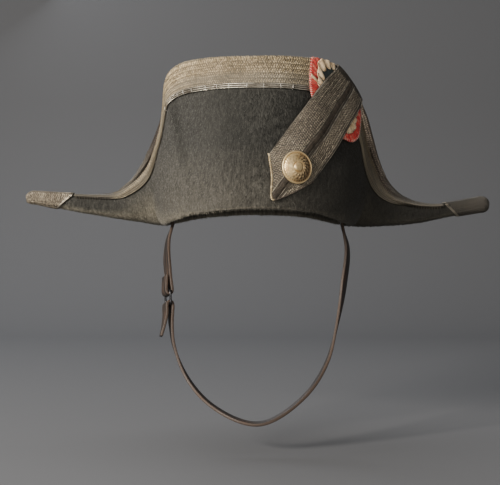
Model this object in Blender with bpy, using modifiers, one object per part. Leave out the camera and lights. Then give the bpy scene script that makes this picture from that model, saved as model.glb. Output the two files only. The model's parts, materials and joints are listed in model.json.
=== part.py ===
"""A bicorne worn athwart, with its galloon, cockade and chin strap.

Metres, +Z up. The front flap faces -Y and +X is at the wearer's left. The origin is the
centre of the headline, where the hat sits on a head.

Each flap is a row of sections. A section starts at its seat, which lies on the keel of a horn
or on the edge of the head hole, leaves it level, rolls up and ends at the flap's free edge.
A station says which section: -1 is the end of the horn at -X, 0 to 1 goes round the head hole
from the -X side to the +X side, and 2 is the end of the horn at +X.
"""

import math

import bmesh
import bpy
import numpy as np
from mathutils import Matrix, Vector
from mathutils.bvhtree import BVHTree

MM = 0.001

# Head opening and felt
HEAD_WIDTH = 158 * MM
HEAD_LENGTH = 196 * MM
FELT = 2.5 * MM
CLEARANCE = 0.3 * MM
CROWN_HEIGHT = 106 * MM
FLAP_HEIGHT = 132 * MM
HORN_REACH = 118 * MM
ROLL = 10 * MM
LEVEL = 2.0 * MM

# Galloon, the flat metallic braid
GALLOON_WIDTH = 27 * MM
GALLOON_TURN = 12 * MM
GALLOON_THICK = 1.0 * MM
GALLOON_GAP = 0.6 * MM
INNER_GAP = 1.15 * MM
TIP_BEYOND = 8 * MM
SLEEVE_GAP = 1.2 * MM

# Cockade, its loop and its button
COCKADE_RADIUS = 34.5 * MM
COCKADE_THICK = 1.2 * MM
COCKADE_GAP = 0.6 * MM
COCKADE_PLEAT = 1.0 * MM
COCKADE_PLEATS = 20
COCKADE_TURN = 44.5
COCKADE_HEIGHT = 96 * MM
COCKADE_EDGE = 0.3 * MM
LOOP_THICK = 1.6 * MM
LOOP_GAP = 1.0 * MM
LOOP_TURN_IN = 13 * MM
BUTTON_RADIUS = 13.6 * MM
BUTTON_HEIGHT = 5.2 * MM
BUTTON_TURN = 17.2
BUTTON_PLACE = 38.8 * MM
BUTTON_LEAVES = 16
BUTTON_RELIEF = 0.5 * MM

# Chin strap and its slide
STRAP_WIDTH = 14 * MM
STRAP_THICK = 2.5 * MM
STRAP_DROP = 175 * MM
STRAP_FORWARD = 65 * MM
STRAP_TAIL = 26 * MM
STRAP_FOLD = 14 * MM
BUCKLE_BAR = 2.0 * MM
BUCKLE_GAP = 10 * MM
BUCKLE_SHARE = 0.185

# What the sizes above give
HOLE_X = HEAD_WIDTH / 2 + FELT + CLEARANCE
HOLE_Y = HEAD_LENGTH / 2 + FELT + CLEARANCE
COCKADE_TOP = GALLOON_GAP + GALLOON_THICK + COCKADE_GAP + COCKADE_PLEAT + COCKADE_THICK

# Height of the seat at each station, as a share of FLAP_HEIGHT
SEAT_HEIGHTS = [
    # station, high
    (-1.00, 0.108),
    (-0.80, 0.068),
    (-0.52, 0.022),
    (-0.20, -0.022),
    (0.00, -0.044),
    (0.15, -0.020),
    (0.30, 0.020),
    (0.50, 0.041),
    (0.70, 0.020),
    (0.85, -0.028),
    (1.00, -0.050),
    (1.22, -0.052),
    (1.52, -0.030),
    (1.80, 0.020),
    (2.00, 0.050),
]

# Sections of the front flap and of the rear flap.
# out: compass of the level start in degrees, 0 at -X and 90 straight away from the keel
# roll: length of the level start, share of ROLL
# wide, reach, deep, high: the free edge, shares of HOLE_X, HORN_REACH, HOLE_Y and FLAP_HEIGHT
# face, tilt: compass and elevation of the outer face at the edge in degrees
# rise: length of the straight run at the edge, share of FLAP_HEIGHT
FRONT = [
    # station, out, roll, wide, reach, deep, high, face, tilt, rise
    (-1.00, 90, 0.45, -1.00, -1.00, 0.058, 0.165, 90, 0, 0.030),
    (-0.80, 90, 0.65, -1.00, -0.80, 0.078, 0.156, 90, -8, 0.040),
    (-0.52, 88, 1.05, -1.00, -0.54, 0.100, 0.147, 88, -14, 0.060),
    (-0.32, 80, 1.40, -1.00, -0.38, 0.140, 0.152, 78, -18, 0.080),
    (-0.16, 68, 1.70, -1.00, -0.28, 0.190, 0.190, 62, -18, 0.110),
    (-0.04, 56, 1.75, -1.00, -0.18, 0.255, 0.262, 42, -12, 0.140),
    (0.05, 48, 1.60, -1.00, -0.105, 0.305, 0.350, 24, -6, 0.160),
    (0.12, 44, 1.40, -1.00, -0.050, 0.335, 0.470, 8, 0, 0.170),
    (0.18, 43, 1.25, -1.00, -0.008, 0.345, 0.610, 0, 2, 0.180),
    (0.235, 45, 1.15, -0.985, 0.00, 0.355, 0.745, -2, 3, 0.190),
    (0.28, 50, 1.10, -0.968, 0.00, 0.395, 0.870, 4, 5, 0.200),
    (0.32, 56, 1.05, -0.915, 0.00, 0.465, 0.940, 26, 8, 0.220),
    (0.36, 64, 1.00, -0.790, 0.00, 0.570, 0.977, 48, 11, 0.300),
    (0.41, 73, 1.00, -0.540, 0.00, 0.710, 0.991, 68, 14, 0.400),
    (0.50, 90, 1.00, 0.000, 0.00, 0.842, 0.991, 90, 15, 0.480),
    (0.59, 107, 1.00, 0.420, 0.00, 0.780, 0.992, 107, 14, 0.420),
    (0.64, 117, 1.00, 0.640, 0.00, 0.670, 0.986, 120, 12, 0.320),
    (0.68, 125, 1.05, 0.790, 0.00, 0.560, 0.950, 136, 8, 0.240),
    (0.72, 131, 1.10, 0.930, 0.00, 0.445, 0.862, 158, 5, 0.200),
    (0.765, 135, 1.20, 1.00, 0.030, 0.370, 0.744, 172, 3, 0.180),
    (0.82, 137, 1.30, 1.00, 0.070, 0.345, 0.615, 174, 2, 0.170),
    (0.88, 136, 1.45, 1.00, 0.100, 0.325, 0.480, 168, 0, 0.170),
    (0.95, 132, 1.60, 1.00, 0.155, 0.285, 0.345, 154, -6, 0.160),
    (1.04, 124, 1.75, 1.00, 0.220, 0.230, 0.225, 136, -12, 0.140),
    (1.16, 112, 1.65, 1.00, 0.300, 0.175, 0.148, 116, -18, 0.110),
    (1.32, 100, 1.35, 1.00, 0.430, 0.130, 0.104, 100, -18, 0.080),
    (1.52, 92, 1.05, 1.00, 0.580, 0.098, 0.083, 92, -14, 0.060),
    (1.80, 90, 0.65, 1.00, 0.80, 0.080, 0.095, 90, -8, 0.040),
    (2.00, 90, 0.45, 1.00, 1.00, 0.058, 0.130, 90, 0, 0.030),
]
REAR = [
    # station, out, roll, wide, reach, deep, high, face, tilt, rise
    (-1.00, 90, 0.45, -1.00, -1.00, 0.058, 0.165, 90, 0, 0.030),
    (-0.80, 90, 0.65, -1.00, -0.80, 0.078, 0.158, 90, -8, 0.040),
    (-0.52, 88, 1.10, -1.00, -0.56, 0.105, 0.152, 88, -14, 0.060),
    (-0.32, 80, 1.45, -1.00, -0.42, 0.155, 0.160, 80, -18, 0.080),
    (-0.14, 66, 1.70, -1.00, -0.34, 0.225, 0.215, 66, -18, 0.120),
    (0.00, 50, 1.80, -1.00, -0.255, 0.290, 0.310, 44, -12, 0.150),
    (0.09, 41, 1.65, -1.00, -0.180, 0.335, 0.430, 26, -6, 0.170),
    (0.17, 38, 1.45, -1.00, -0.100, 0.360, 0.590, 12, 0, 0.170),
    (0.24, 43, 1.30, -1.00, -0.045, 0.390, 0.745, 12, 3, 0.170),
    (0.30, 52, 1.20, -1.00, -0.015, 0.460, 0.880, 26, 6, 0.220),
    (0.36, 64, 1.10, -0.940, 0.00, 0.590, 0.975, 46, 10, 0.320),
    (0.42, 75, 1.05, -0.640, 0.00, 0.770, 1.030, 68, 13, 0.420),
    (0.50, 90, 1.05, 0.000, 0.00, 0.880, 1.050, 90, 14, 0.500),
    (0.58, 105, 1.05, 0.640, 0.00, 0.770, 1.030, 112, 13, 0.420),
    (0.64, 116, 1.10, 0.970, 0.00, 0.590, 0.975, 134, 10, 0.320),
    (0.70, 128, 1.20, 1.00, 0.090, 0.460, 0.880, 154, 6, 0.220),
    (0.76, 137, 1.30, 1.00, 0.158, 0.390, 0.745, 168, 3, 0.170),
    (0.83, 142, 1.45, 1.00, 0.205, 0.360, 0.590, 168, 0, 0.170),
    (0.91, 139, 1.65, 1.00, 0.255, 0.335, 0.420, 154, -6, 0.170),
    (1.00, 130, 1.80, 1.00, 0.310, 0.290, 0.285, 136, -12, 0.150),
    (1.14, 114, 1.70, 1.00, 0.385, 0.225, 0.180, 114, -18, 0.120),
    (1.32, 100, 1.45, 1.00, 0.485, 0.155, 0.116, 100, -18, 0.080),
    (1.52, 92, 1.10, 1.00, 0.605, 0.105, 0.090, 92, -14, 0.060),
    (1.80, 90, 0.65, 1.00, 0.80, 0.080, 0.098, 90, -8, 0.040),
    (2.00, 90, 0.45, 1.00, 1.00, 0.058, 0.130, 90, 0, 0.030),
]

# The galloon's leaves, as shares of GALLOON_WIDTH outside and of GALLOON_TURN inside
LEAVES = [
    # station, outside, inside
    (-1.00, 0.05, 0.55),
    (-0.50, 0.06, 0.70),
    (-0.25, 0.14, 0.90),
    (-0.05, 0.27, 1.00),
    (0.12, 0.48, 1.00),
    (0.25, 0.92, 1.00),
    (0.50, 1.00, 1.00),
    (0.75, 1.00, 1.00),
    (0.88, 0.72, 1.00),
    (1.05, 0.34, 1.00),
    (1.25, 0.14, 0.90),
    (1.50, 0.06, 0.70),
    (2.00, 0.05, 0.55),
]

# Crown: radius at each height, shares of the headline and of CROWN_HEIGHT
CROWN_PROFILE = [
    # high, radius
    (0.00, 1.000),
    (0.30, 0.985),
    (0.55, 0.945),
    (0.72, 0.875),
    (0.86, 0.750),
    (0.94, 0.600),
    (0.985, 0.380),
    (1.00, 0.140),
]

# Where the galloon sleeves of the horns' ends begin, as shares of HORN_REACH
SLEEVES = {
    # name: (station sign, start at the keel, start at the edge)
    "tip_left": (-1, 0.86, 0.70),
    "tip_right": (1, 0.85, 0.71),
}

# Loop over the cockade: compass from the front centre in degrees towards +X, and height as a
# share of FLAP_HEIGHT, of its left edge, middle and right edge. The last row is at the edge.
LOOP = [
    # along, left turn, left high, middle turn, middle high, right turn, right high
    (0.00, 4.7, 0.376, 5.3, 0.076, 26.4, 0.211),
    (0.33, 18.5, 0.610, 22.2, 0.396, 36.6, 0.345),
    (0.67, 32.6, 0.820, 40.1, 0.667, 51.5, 0.580),
    (1.00, 47.8, 0.965, 57.5, 0.865, 66.0, 0.765),
]

# Chin strap from the -X side to the +X side: shares of the strap's reach to the side, of
# STRAP_FORWARD and of STRAP_DROP, and its twist from edge-on in degrees
STRAP = [
    # across, forward, drop, twist
    (-0.972, 0.00, -0.070, 0),
    (-0.980, 0.00, 0.020, 0),
    (-1.035, 0.06, 0.110, 12),
    (-1.045, 0.16, 0.210, 22),
    (-1.030, 0.27, 0.340, 22),
    (-1.010, 0.35, 0.470, 16),
    (-0.965, 0.42, 0.610, 10),
    (-0.800, 0.56, 0.790, 0),
    (-0.500, 0.80, 0.925, 0),
    (0.000, 1.00, 1.000, 0),
    (0.500, 0.78, 0.885, 0),
    (0.780, 0.50, 0.720, 0),
    (0.905, 0.35, 0.530, -8),
    (0.990, 0.22, 0.330, -20),
    (1.035, 0.10, 0.150, -14),
    (0.980, 0.00, 0.020, 0),
    (0.972, 0.00, -0.070, 0),
]

# The felt is pressed thinner where a section is shorter than this, down to this share
PRESSED_WAY = 28 * MM
PRESSED_SHARE = 0.5

# How the front face is read: how far below the edge at most, and how far apart for its slope
FACE_MARGIN = 1.5 * MM
FACE_STEP = 4 * MM
FACE_TURN = 2.0

# Stations over which the level starts are evened out, and their weights
ROLL_SPREAD = 0.16
ROLL_WEIGHTS = [(-1, 1), (-0.5, 4), (0, 6), (0.5, 4), (1, 1)]

# Stations to each side between which the free edge's direction is taken
EDGE_WINDOW = 0.022

# Grid of the felt and of the braid
SAMPLES = 400
SECTION_SAMPLES = 65
HORN_STEPS = 8
HEAD_STEPS = 34
LOWER_STEPS = 6
LOWER_CROWDING = 1.4
BAND_STEPS = 3
BAND_SHARE = 0.3
SHARP_ANGLE = 40
CROWN_SEGMENTS = 32
GALLOON_END = 0.02
SLEEVE_RINGS = 5
SLEEVE_SHARES = (0.0, 0.2, 0.4, 0.6, 0.8, 0.97)
SLEEVE_END = [(0.05, 1.0), (0.55, 0.86), (0.88, 0.5)]

# The cockade's rim: angle from +X in degrees, and share of COCKADE_RADIUS. Where it would
# reach beyond the flap's edge it is cut there.
COCKADE_RIM = [
    # angle, radius
    (-90, 0.86),
    (-78, 0.93),
    (-67, 1.05),
    (-52, 1.075),
    (-32, 0.98),
    (0, 1.06),
    (45, 1.18),
    (90, 1.30),
    (120, 1.32),
    (134, 1.14),
    (148, 1.015),
    (163, 0.915),
    (180, 0.84),
    (225, 0.80),
    (270, 0.86),
]
COCKADE_RINGS = (0.15, 0.42, 0.72, 1.0)
COCKADE_CUTS = 60

# Grid of the loop, the ramp on which it rises to the cockade, and its turn over the edge:
# off the face and beyond the edge, as shares of what it has to clear there
LOOP_STEPS = 16
LOOP_HALF = 5
LOOP_FACE = 0.975
LOOP_RAMP = 30 * MM
LOOP_MARGIN = 2 * MM
LOOP_OVER = [
    # inside, off, beyond
    (False, 0.9, 1.0),
    (True, 0.9, 1.0),
    (True, 1.0, 0.1),
]
LOOP_START = 0.3

# Button from its back to its boss: shares of BUTTON_RADIUS, BUTTON_HEIGHT and BUTTON_RELIEF
BUTTON_PROFILE = [
    # radius, high, relief
    (0.90, 0.00, 0),
    (0.99, 0.10, 0),
    (1.00, 0.24, 0),
    (0.95, 0.32, 0),
    (0.89, 0.25, 0),
    (0.80, 0.42, 0),
    (0.66, 0.60, 1),
    (0.50, 0.74, 0),
    (0.33, 0.84, 0),
    (0.29, 0.80, 0),
    (0.24, 0.93, 0),
    (0.12, 1.00, 0),
]

# Grid of the strap, and where it runs straight beside the slide and bends into its path
SHORT_STEPS = 9
LONG_STEPS = 44
STRAP_STRAIGHT = 12 * MM
STRAP_BEND = 14 * MM

# How a strap comes to a bar, how its folded end lies and how the long strap's free end
# leaves: distance from the bar (the last two as shares of STRAP_FOLD and of STRAP_TAIL), and
# offset as a share of the fold's radius
APPROACH = [(34 * MM, 0.0), (24 * MM, 0.25), (14 * MM, 0.55), (7 * MM, 0.85)]
FOLDED_END = [(0.45, 0.9), (1.0, 0.62)]
FREE_END = [(0.3, 1.15), (0.62, 2.0), (1.0, 3.6)]
FOLD_STEPS = 4


def interpolate(table, where):
    """Smooth values of a table's later columns at each value of its first column."""
    rows = np.array(table, float)
    knots, values = rows[:, 0], rows[:, 1:]
    steps = np.diff(knots)[:, None]
    slopes = np.diff(values, axis=0) / steps
    tangents = np.vstack(
        [
            slopes[:1],
            (slopes[:-1] * steps[1:] + slopes[1:] * steps[:-1]) / (steps[:-1] + steps[1:]),
            slopes[-1:],
        ]
    )
    where = np.atleast_1d(np.asarray(where, float))
    low = np.clip(np.searchsorted(knots, where, side="right") - 1, 0, len(knots) - 2)
    width = steps[low]
    t = (where[:, None] - knots[low][:, None]) / width
    return (
        (2 * t**3 - 3 * t**2 + 1) * values[low]
        + (t**3 - 2 * t**2 + t) * width * tangents[low]
        + (3 * t**2 - 2 * t**3) * values[low + 1]
        + (t**3 - t**2) * width * tangents[low + 1]
    )


def unit(vectors):
    """Vectors along the last axis, each made one long."""
    return vectors / np.linalg.norm(vectors, axis=-1, keepdims=True)


def compass(degrees, side):
    """Level unit vectors: 0 at -X, 90 away from the keel towards the flap's side."""
    angle = np.radians(degrees)
    return np.stack([-np.cos(angle), side * np.sin(angle), np.zeros_like(angle)], axis=-1)


def seats(stations, side):
    """Points of the keel and of the head hole's edge."""
    stations = np.atleast_1d(np.asarray(stations, float))
    around = np.radians(180 * np.clip(stations, 0, 1))
    along = HORN_REACH * (np.minimum(stations, 0) + np.maximum(stations - 1, 0))
    high = FLAP_HEIGHT * interpolate(SEAT_HEIGHTS, stations)[:, 0]
    return np.stack(
        [along - HOLE_X * np.cos(around), side * HOLE_Y * np.sin(around), high], axis=-1
    )


def edges(table, side, stations):
    """Points of a flap's free edge."""
    wide, reach, deep, high = interpolate(table, stations)[:, 2:6].T
    return np.stack(
        [wide * HOLE_X + reach * HORN_REACH, side * deep * HOLE_Y, high * FLAP_HEIGHT],
        axis=-1,
    )


def roll_ends(table, side, stations):
    """Ends of the level starts, evened out where the seat turns from a horn to the head hole."""
    total = 0
    for share, weight in ROLL_WEIGHTS:
        near = np.clip(stations + share * ROLL_SPREAD, -1, 2)
        out, roll = interpolate(table, near)[:, 0:2].T
        ends = seats(near, side) + ROLL * roll[:, None] * compass(out, side)
        total = total + weight * ends
    return total / sum(weight for _, weight in ROLL_WEIGHTS)


def sections(table, side, stations):
    """The four control points of each section, from its level start to its free edge."""
    stations = np.atleast_1d(np.asarray(stations, float))
    face, tilt, rise = interpolate(table, stations)[:, 6:9].T
    run = unit(
        edges(table, side, np.minimum(stations + EDGE_WINDOW, 2))
        - edges(table, side, np.maximum(stations - EDGE_WINDOW, -1))
    )
    tilt = np.radians(tilt)[:, None]
    outer = np.cos(tilt) * compass(face, side) + np.sin(tilt) * np.array([0, 0, 1.0])
    outer = unit(outer - np.sum(outer * run, axis=1, keepdims=True) * run)
    inwards = unit(np.cross(outer, run)) * side
    edge = edges(table, side, stations)
    out = interpolate(table, stations)[:, 0]
    return np.stack(
        [
            seats(stations, side) + LEVEL * compass(out, side),
            roll_ends(table, side, stations),
            edge + FLAP_HEIGHT * rise[:, None] * inwards,
            edge,
        ],
        axis=1,
    )


def section_curves(controls):
    """Points of each section from edge to seat, and their distances from the edge."""
    share = np.linspace(1, 0, SECTION_SAMPLES)[None, :, None]
    a, b, c, d = (controls[:, None, k] for k in range(4))
    curve = (
        (1 - share) ** 3 * a
        + 3 * share * (1 - share) ** 2 * b
        + 3 * share**2 * (1 - share) * c
        + share**3 * d
    )
    steps = np.linalg.norm(np.diff(curve, axis=1), axis=2)
    return curve, np.hstack([np.zeros((len(curve), 1)), steps.cumsum(axis=1)])


def along_section(controls, distance):
    """Points at a distance from the free edge, measured down each section."""
    curve, length = section_curves(controls)
    distance = np.broadcast_to(distance, len(curve))
    return np.array(
        [
            [np.interp(way, row_length, row[:, axis]) for axis in range(3)]
            for way, row_length, row in zip(distance, length, curve, strict=True)
        ]
    )


def section_lengths(controls):
    """Length of each section from edge to seat."""
    return section_curves(controls)[1][:, -1]


def stations_of(table, side):
    """Stations of the grid: the same on both horns, and evenly spread along the head hole."""
    horn = np.linspace(0, 1, HORN_STEPS + 1)
    fine = np.linspace(0, 1, SAMPLES)
    seat_way = np.linalg.norm(np.diff(seats(fine, side), axis=0), axis=1)
    edge_way = np.linalg.norm(np.diff(edges(table, side, fine), axis=0), axis=1)
    way = np.concatenate([[0], np.cumsum(seat_way + edge_way)])
    head = np.interp(np.linspace(0, way[-1], HEAD_STEPS + 1), way, fine)
    return np.concatenate([-1 + horn[:-1], head, 1 + horn[1:]])


def new_object(name, mesh_data, material):
    """An object with its material, in the hat's collection."""
    thing = bpy.data.objects.new(name, mesh_data)
    thing.data.materials.append(material)
    HAT.objects.link(thing)
    thing.parent = ROOT
    return thing


def mesh_from(name, points, faces, smooth=True):
    """A mesh from points and faces, its normals made to agree."""
    mesh = bpy.data.meshes.new(name)
    mesh.from_pydata([tuple(p) for p in points], [], faces)
    body = bmesh.new()
    body.from_mesh(mesh)
    bmesh.ops.recalc_face_normals(body, faces=body.faces)
    body.to_mesh(mesh)
    body.free()
    if smooth:
        mesh.shade_smooth()
        mesh.set_sharp_from_angle(angle=math.radians(SHARP_ANGLE))
    return mesh


def grid_faces(rows, columns, closed=False):
    """Quads of a grid whose points are listed row by row, its columns closed if asked."""
    last = columns if closed else columns - 1
    return [
        (
            r * columns + c,
            r * columns + (c + 1) % columns,
            (r + 1) * columns + (c + 1) % columns,
            (r + 1) * columns + c,
        )
        for r in range(rows - 1)
        for c in range(last)
    ]


def shell(thing, thickness, offset):
    """Solidify on an open sheet."""
    wall = thing.modifiers.new("wall", "SOLIDIFY")
    wall.thickness = thickness
    wall.offset = offset
    wall.use_quality_normals = True
    return thing


def face_mesh(mesh, towards):
    """Turns an open mesh's faces so that its face nearest to a point looks at it."""
    nearest = min(mesh.polygons, key=lambda face: (face.center - towards).length)
    if nearest.normal.dot(towards - nearest.center) < 0:
        mesh.flip_normals()


def material(name, colour, roughness, metallic=0.0):
    """A plain Principled material."""
    new = bpy.data.materials.new(name)
    new.use_nodes = True
    shader = new.node_tree.nodes["Principled BSDF"]
    shader.inputs["Base Color"].default_value = (*colour, 1)
    shader.inputs["Roughness"].default_value = roughness
    shader.inputs["Metallic"].default_value = metallic
    new.diffuse_color = (*colour, 1)
    return new


def felt_grid(table, side):
    """A flap's stations, and a row of outer face points for each, from seat to edge."""
    stations = stations_of(table, side)
    controls = sections(table, side, stations)
    length = section_lengths(controls)
    leaf = GALLOON_WIDTH * interpolate(LEAVES, stations)[:, 0]
    band = np.maximum(leaf, np.minimum(GALLOON_TURN, BAND_SHARE * length))
    columns = [seats(stations, side)]
    for k in range(LOWER_STEPS):
        share = (k / LOWER_STEPS) ** LOWER_CROWDING
        columns.append(along_section(controls, length - (length - band) * share))
    columns += [
        along_section(controls, band * (1 - k / BAND_STEPS)) for k in range(BAND_STEPS + 1)
    ]
    return stations, np.stack(columns, axis=1)


class Flap:
    """A flap as built: rows of points of its outer and inner face, one row a station."""

    def __init__(self, stations, outer, inner):
        self.stations, self.outer, self.inner = stations, outer, inner

    def row(self, station, grid):
        """One row of a grid, straight between its own rows."""
        after = int(np.clip(np.searchsorted(self.stations, station), 1, len(grid) - 1))
        sooner, later = self.stations[after - 1], self.stations[after]
        share = (station - sooner) / (later - sooner)
        return grid[after - 1] * (1 - share) + grid[after] * share

    def length(self, station):
        """Length of a row."""
        return np.linalg.norm(np.diff(self.row(station, self.outer), axis=0), axis=1).sum()

    def place(self, station, distance, off, inside=False):
        """A point off one face, at a distance from the free edge down its row."""
        outer, inner = self.row(station, self.outer), self.row(station, self.inner)
        near, far = (inner, outer) if inside else (outer, inner)
        near, away = near[::-1], unit(near - far)[::-1]
        way = np.concatenate([[0], np.linalg.norm(np.diff(near, axis=0), axis=1).cumsum()])
        spot = [np.interp(distance, way, near[:, k]) for k in range(3)]
        out = unit(np.array([np.interp(distance, way, away[:, k]) for k in range(3)]))
        return np.array(spot) + out * off

    def edge(self, station, off, up, inside=False):
        """A point beyond the free edge, in line with one of the faces."""
        end, start = self.row(station, self.outer)[:-3:-1]
        return self.place(station, 0, off, inside) + unit(end - start) * up


def make_brim(felt):
    """Both flaps and both horns as one felt shell with the oval head hole."""
    front_stations, front = felt_grid(FRONT, -1)
    rear_stations, rear = felt_grid(REAR, 1)
    rows, columns = front.shape[:2]
    points = list(front.reshape(-1, 3))
    front_index = np.arange(rows * columns).reshape(rows, columns)
    index = np.zeros((rows, columns), int)
    for r, station in enumerate(rear_stations):
        on_keel = station <= 0 or station >= 1
        for c in range(columns):
            if c == 0 and on_keel:
                index[r, c] = r * columns
            else:
                index[r, c] = len(points)
                points.append(rear[r, c])
    faces = grid_faces(rows, columns)
    faces += [tuple(index.flat[k] for k in quad[::-1]) for quad in faces]
    mesh = mesh_from("brim", points, faces)
    face_mesh(mesh, Vector((0, -3 * HOLE_Y, FLAP_HEIGHT / 2)))
    brim = shell(new_object("brim", mesh, felt), FELT, -1)
    weights = np.ones(len(points))
    for grid, table, side, stations in (
        (index, REAR, 1, rear_stations),
        (front_index, FRONT, -1, front_stations),
    ):
        way = section_lengths(sections(table, side, stations))
        weights[grid] = np.clip(way / PRESSED_WAY, PRESSED_SHARE, 1)[:, None]
    pressed = brim.vertex_groups.new(name="pressed")
    for k, weight in enumerate(weights):
        pressed.add([k], weight, "REPLACE")
    brim.modifiers["wall"].vertex_group = pressed.name
    bpy.context.view_layer.update()
    solid = brim.evaluated_get(bpy.context.evaluated_depsgraph_get()).data
    place = np.array([vertex.co for vertex in solid.vertices])
    outer, inner = place[: len(points)], place[len(points) :]
    return (
        brim,
        Flap(front_stations, outer[front_index], inner[front_index]),
        Flap(rear_stations, outer[index], inner[index]),
    )


def make_crown(felt):
    """The dome that the head goes into, open below, its lower edge along the headline."""
    profile = np.array(CROWN_PROFILE)
    around = np.linspace(0, 360, CROWN_SEGMENTS, endpoint=False)
    station = np.where(around <= 180, around, 360 - around) / 180
    low = FLAP_HEIGHT * interpolate(SEAT_HEIGHTS, station)[:, 0]
    outer_x, outer_y = HOLE_X - CLEARANCE, HOLE_Y - CLEARANCE
    points = []
    for high, radius in profile:
        for angle, start in zip(np.radians(around), low, strict=True):
            points.append(
                (
                    -outer_x * radius * math.cos(angle),
                    -outer_y * radius * math.sin(angle),
                    start + (CROWN_HEIGHT - start) * high,
                )
            )
    faces = grid_faces(len(profile), CROWN_SEGMENTS, closed=True)
    top = len(points)
    points.append((0, 0, CROWN_HEIGHT))
    first = (len(profile) - 1) * CROWN_SEGMENTS
    faces += [
        (first + k, first + (k + 1) % CROWN_SEGMENTS, top) for k in range(CROWN_SEGMENTS)
    ]
    mesh = mesh_from("crown", points, faces)
    face_mesh(mesh, Vector((0, 0, 3 * CROWN_HEIGHT)))
    return shell(new_object("crown", mesh, felt), FELT, -1)


def make_galloon(name, flap, braid):
    """Braid folded over a flap's edge, from one horn's sleeve to the other's."""
    start = -SLEEVES["tip_left"][2] + SLEEVE_GAP / HORN_REACH
    end = 1 + SLEEVES["tip_right"][2] - SLEEVE_GAP / HORN_REACH
    between = (flap.stations > start + GALLOON_END) & (flap.stations < end - GALLOON_END)
    grid = []
    for station in [start, *flap.stations[between], end]:
        leaf = interpolate(LEAVES, station)[0]
        outside, inside = leaf[0] * GALLOON_WIDTH, leaf[1] * GALLOON_TURN
        row = [
            flap.place(station, outside * (1 - k / BAND_STEPS), GALLOON_GAP)
            for k in range(BAND_STEPS)
        ]
        row.append(flap.edge(station, GALLOON_GAP, GALLOON_GAP))
        row.append(flap.edge(station, INNER_GAP, GALLOON_GAP, inside=True))
        for share in (0.5, 1):
            row.append(flap.place(station, inside * share, INNER_GAP, inside=True))
        grid.append(row)
    grid = np.array(grid)
    mesh = mesh_from(name, grid.reshape(-1, 3), grid_faces(*grid.shape[:2]))
    side = 1 if grid[:, 0, 1].mean() > 0 else -1
    face_mesh(mesh, Vector((0, 3 * side * HOLE_Y, FLAP_HEIGHT)))
    return shell(new_object(name, mesh, braid), GALLOON_THICK, 1)


def make_sleeve(name, front, rear, braid):
    """Galloon sleeve round a horn's end, its opening cut on the slant."""
    sign, low_start, high_start = SLEEVES[name]
    origin = 0 if sign < 0 else 1
    spots = [(front, share) for share in SLEEVE_SHARES]
    spots += [(rear, share) for share in SLEEVE_SHARES[::-1]]
    rings = []
    for ring in range(SLEEVE_RINGS):
        row = []
        for flap, share in spots:
            start = high_start + (low_start - high_start) * share
            station = origin + sign * (start + (1 - start) * ring / (SLEEVE_RINGS - 1))
            if share == 0:
                row.append(flap.edge(station, GALLOON_GAP, 2 * GALLOON_GAP))
            else:
                row.append(flap.place(station, flap.length(station) * share, GALLOON_GAP))
        rings.append(np.array(row))
    last, centre = rings[-1], rings[-1].mean(axis=0)
    beyond = np.array([sign * TIP_BEYOND, 0, 0])
    rings += [centre + (last - centre) * scale + beyond * way for way, scale in SLEEVE_END]
    points = np.vstack([*rings, centre + beyond])
    around = len(spots)
    faces = grid_faces(len(rings), around, closed=True)
    first = (len(rings) - 1) * around
    faces += [(first + k, first + (k + 1) % around, len(points) - 1) for k in range(around)]
    mesh = mesh_from(name, points, faces)
    face_mesh(mesh, Vector((sign * 2 * HORN_REACH, 0, FLAP_HEIGHT)))
    return shell(new_object(name, mesh, braid), GALLOON_THICK, 1)


class FrontFace:
    """The front flap's outer face, found by a compass turn from the front and a height."""

    def __init__(self, brim, flap):
        self.tree = BVHTree.FromObject(brim, bpy.context.evaluated_depsgraph_get())
        self.stations = np.linspace(0.5, 1.0, SAMPLES)
        rim = np.array([flap.row(station, flap.outer)[-1] for station in self.stations])
        self.turns = np.degrees(np.arctan2(rim[:, 0], -rim[:, 1]))
        self.rim = rim[:, 2]

    def edge_height(self, turn):
        return float(np.interp(turn, self.turns, self.rim))

    def edge_station(self, turn):
        return float(np.interp(turn, self.turns, self.stations))

    def hit(self, turn, high):
        angle = math.radians(turn)
        way = Vector((math.sin(angle), -math.cos(angle), 0))
        place = self.tree.ray_cast(way * 3 * HOLE_Y + Vector((0, 0, high)), -way)[0]
        return np.array(place)

    def point(self, turn, high, lift):
        """A point lifted off the face, and the direction in which it was lifted."""
        low = min(high, self.edge_height(turn) - FACE_MARGIN)
        top = min(low + FACE_STEP, self.edge_height(turn) - FACE_MARGIN)
        up = self.hit(turn, top) - self.hit(turn, top - 2 * FACE_STEP)
        level = min(low, self.edge_height(turn + FACE_TURN) - FACE_MARGIN)
        across = self.hit(turn + FACE_TURN, level) - self.hit(turn - FACE_TURN, level)
        normal = unit(np.cross(across, up))
        place = self.hit(turn, low) + up * (high - low) / up[2]
        return place + normal * lift, normal


def rim_radius(angle):
    """Radius of the cockade at an angle in radians from +X, before the flap's edge cuts it."""
    degrees = (math.degrees(angle) + 90) % 360 - 90
    return COCKADE_RADIUS * interpolate(COCKADE_RIM, degrees)[0, 0]


def rosette_place(angle, radius):
    """Compass turn and height at an angle and a distance from the cockade's centre."""
    turn = COCKADE_TURN + math.degrees(radius * math.cos(angle) / HOLE_Y)
    return turn, COCKADE_HEIGHT + radius * math.sin(angle)


def rosette_limit(face, turn):
    """Height that the cockade may reach: the galloon's top, or under the loop the felt's."""
    beside_loop = turn < LOOP[-1][1] - FACE_TURN
    top = GALLOON_GAP + GALLOON_THICK if beside_loop else 0
    return face.edge_height(turn) + top - COCKADE_EDGE


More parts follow.
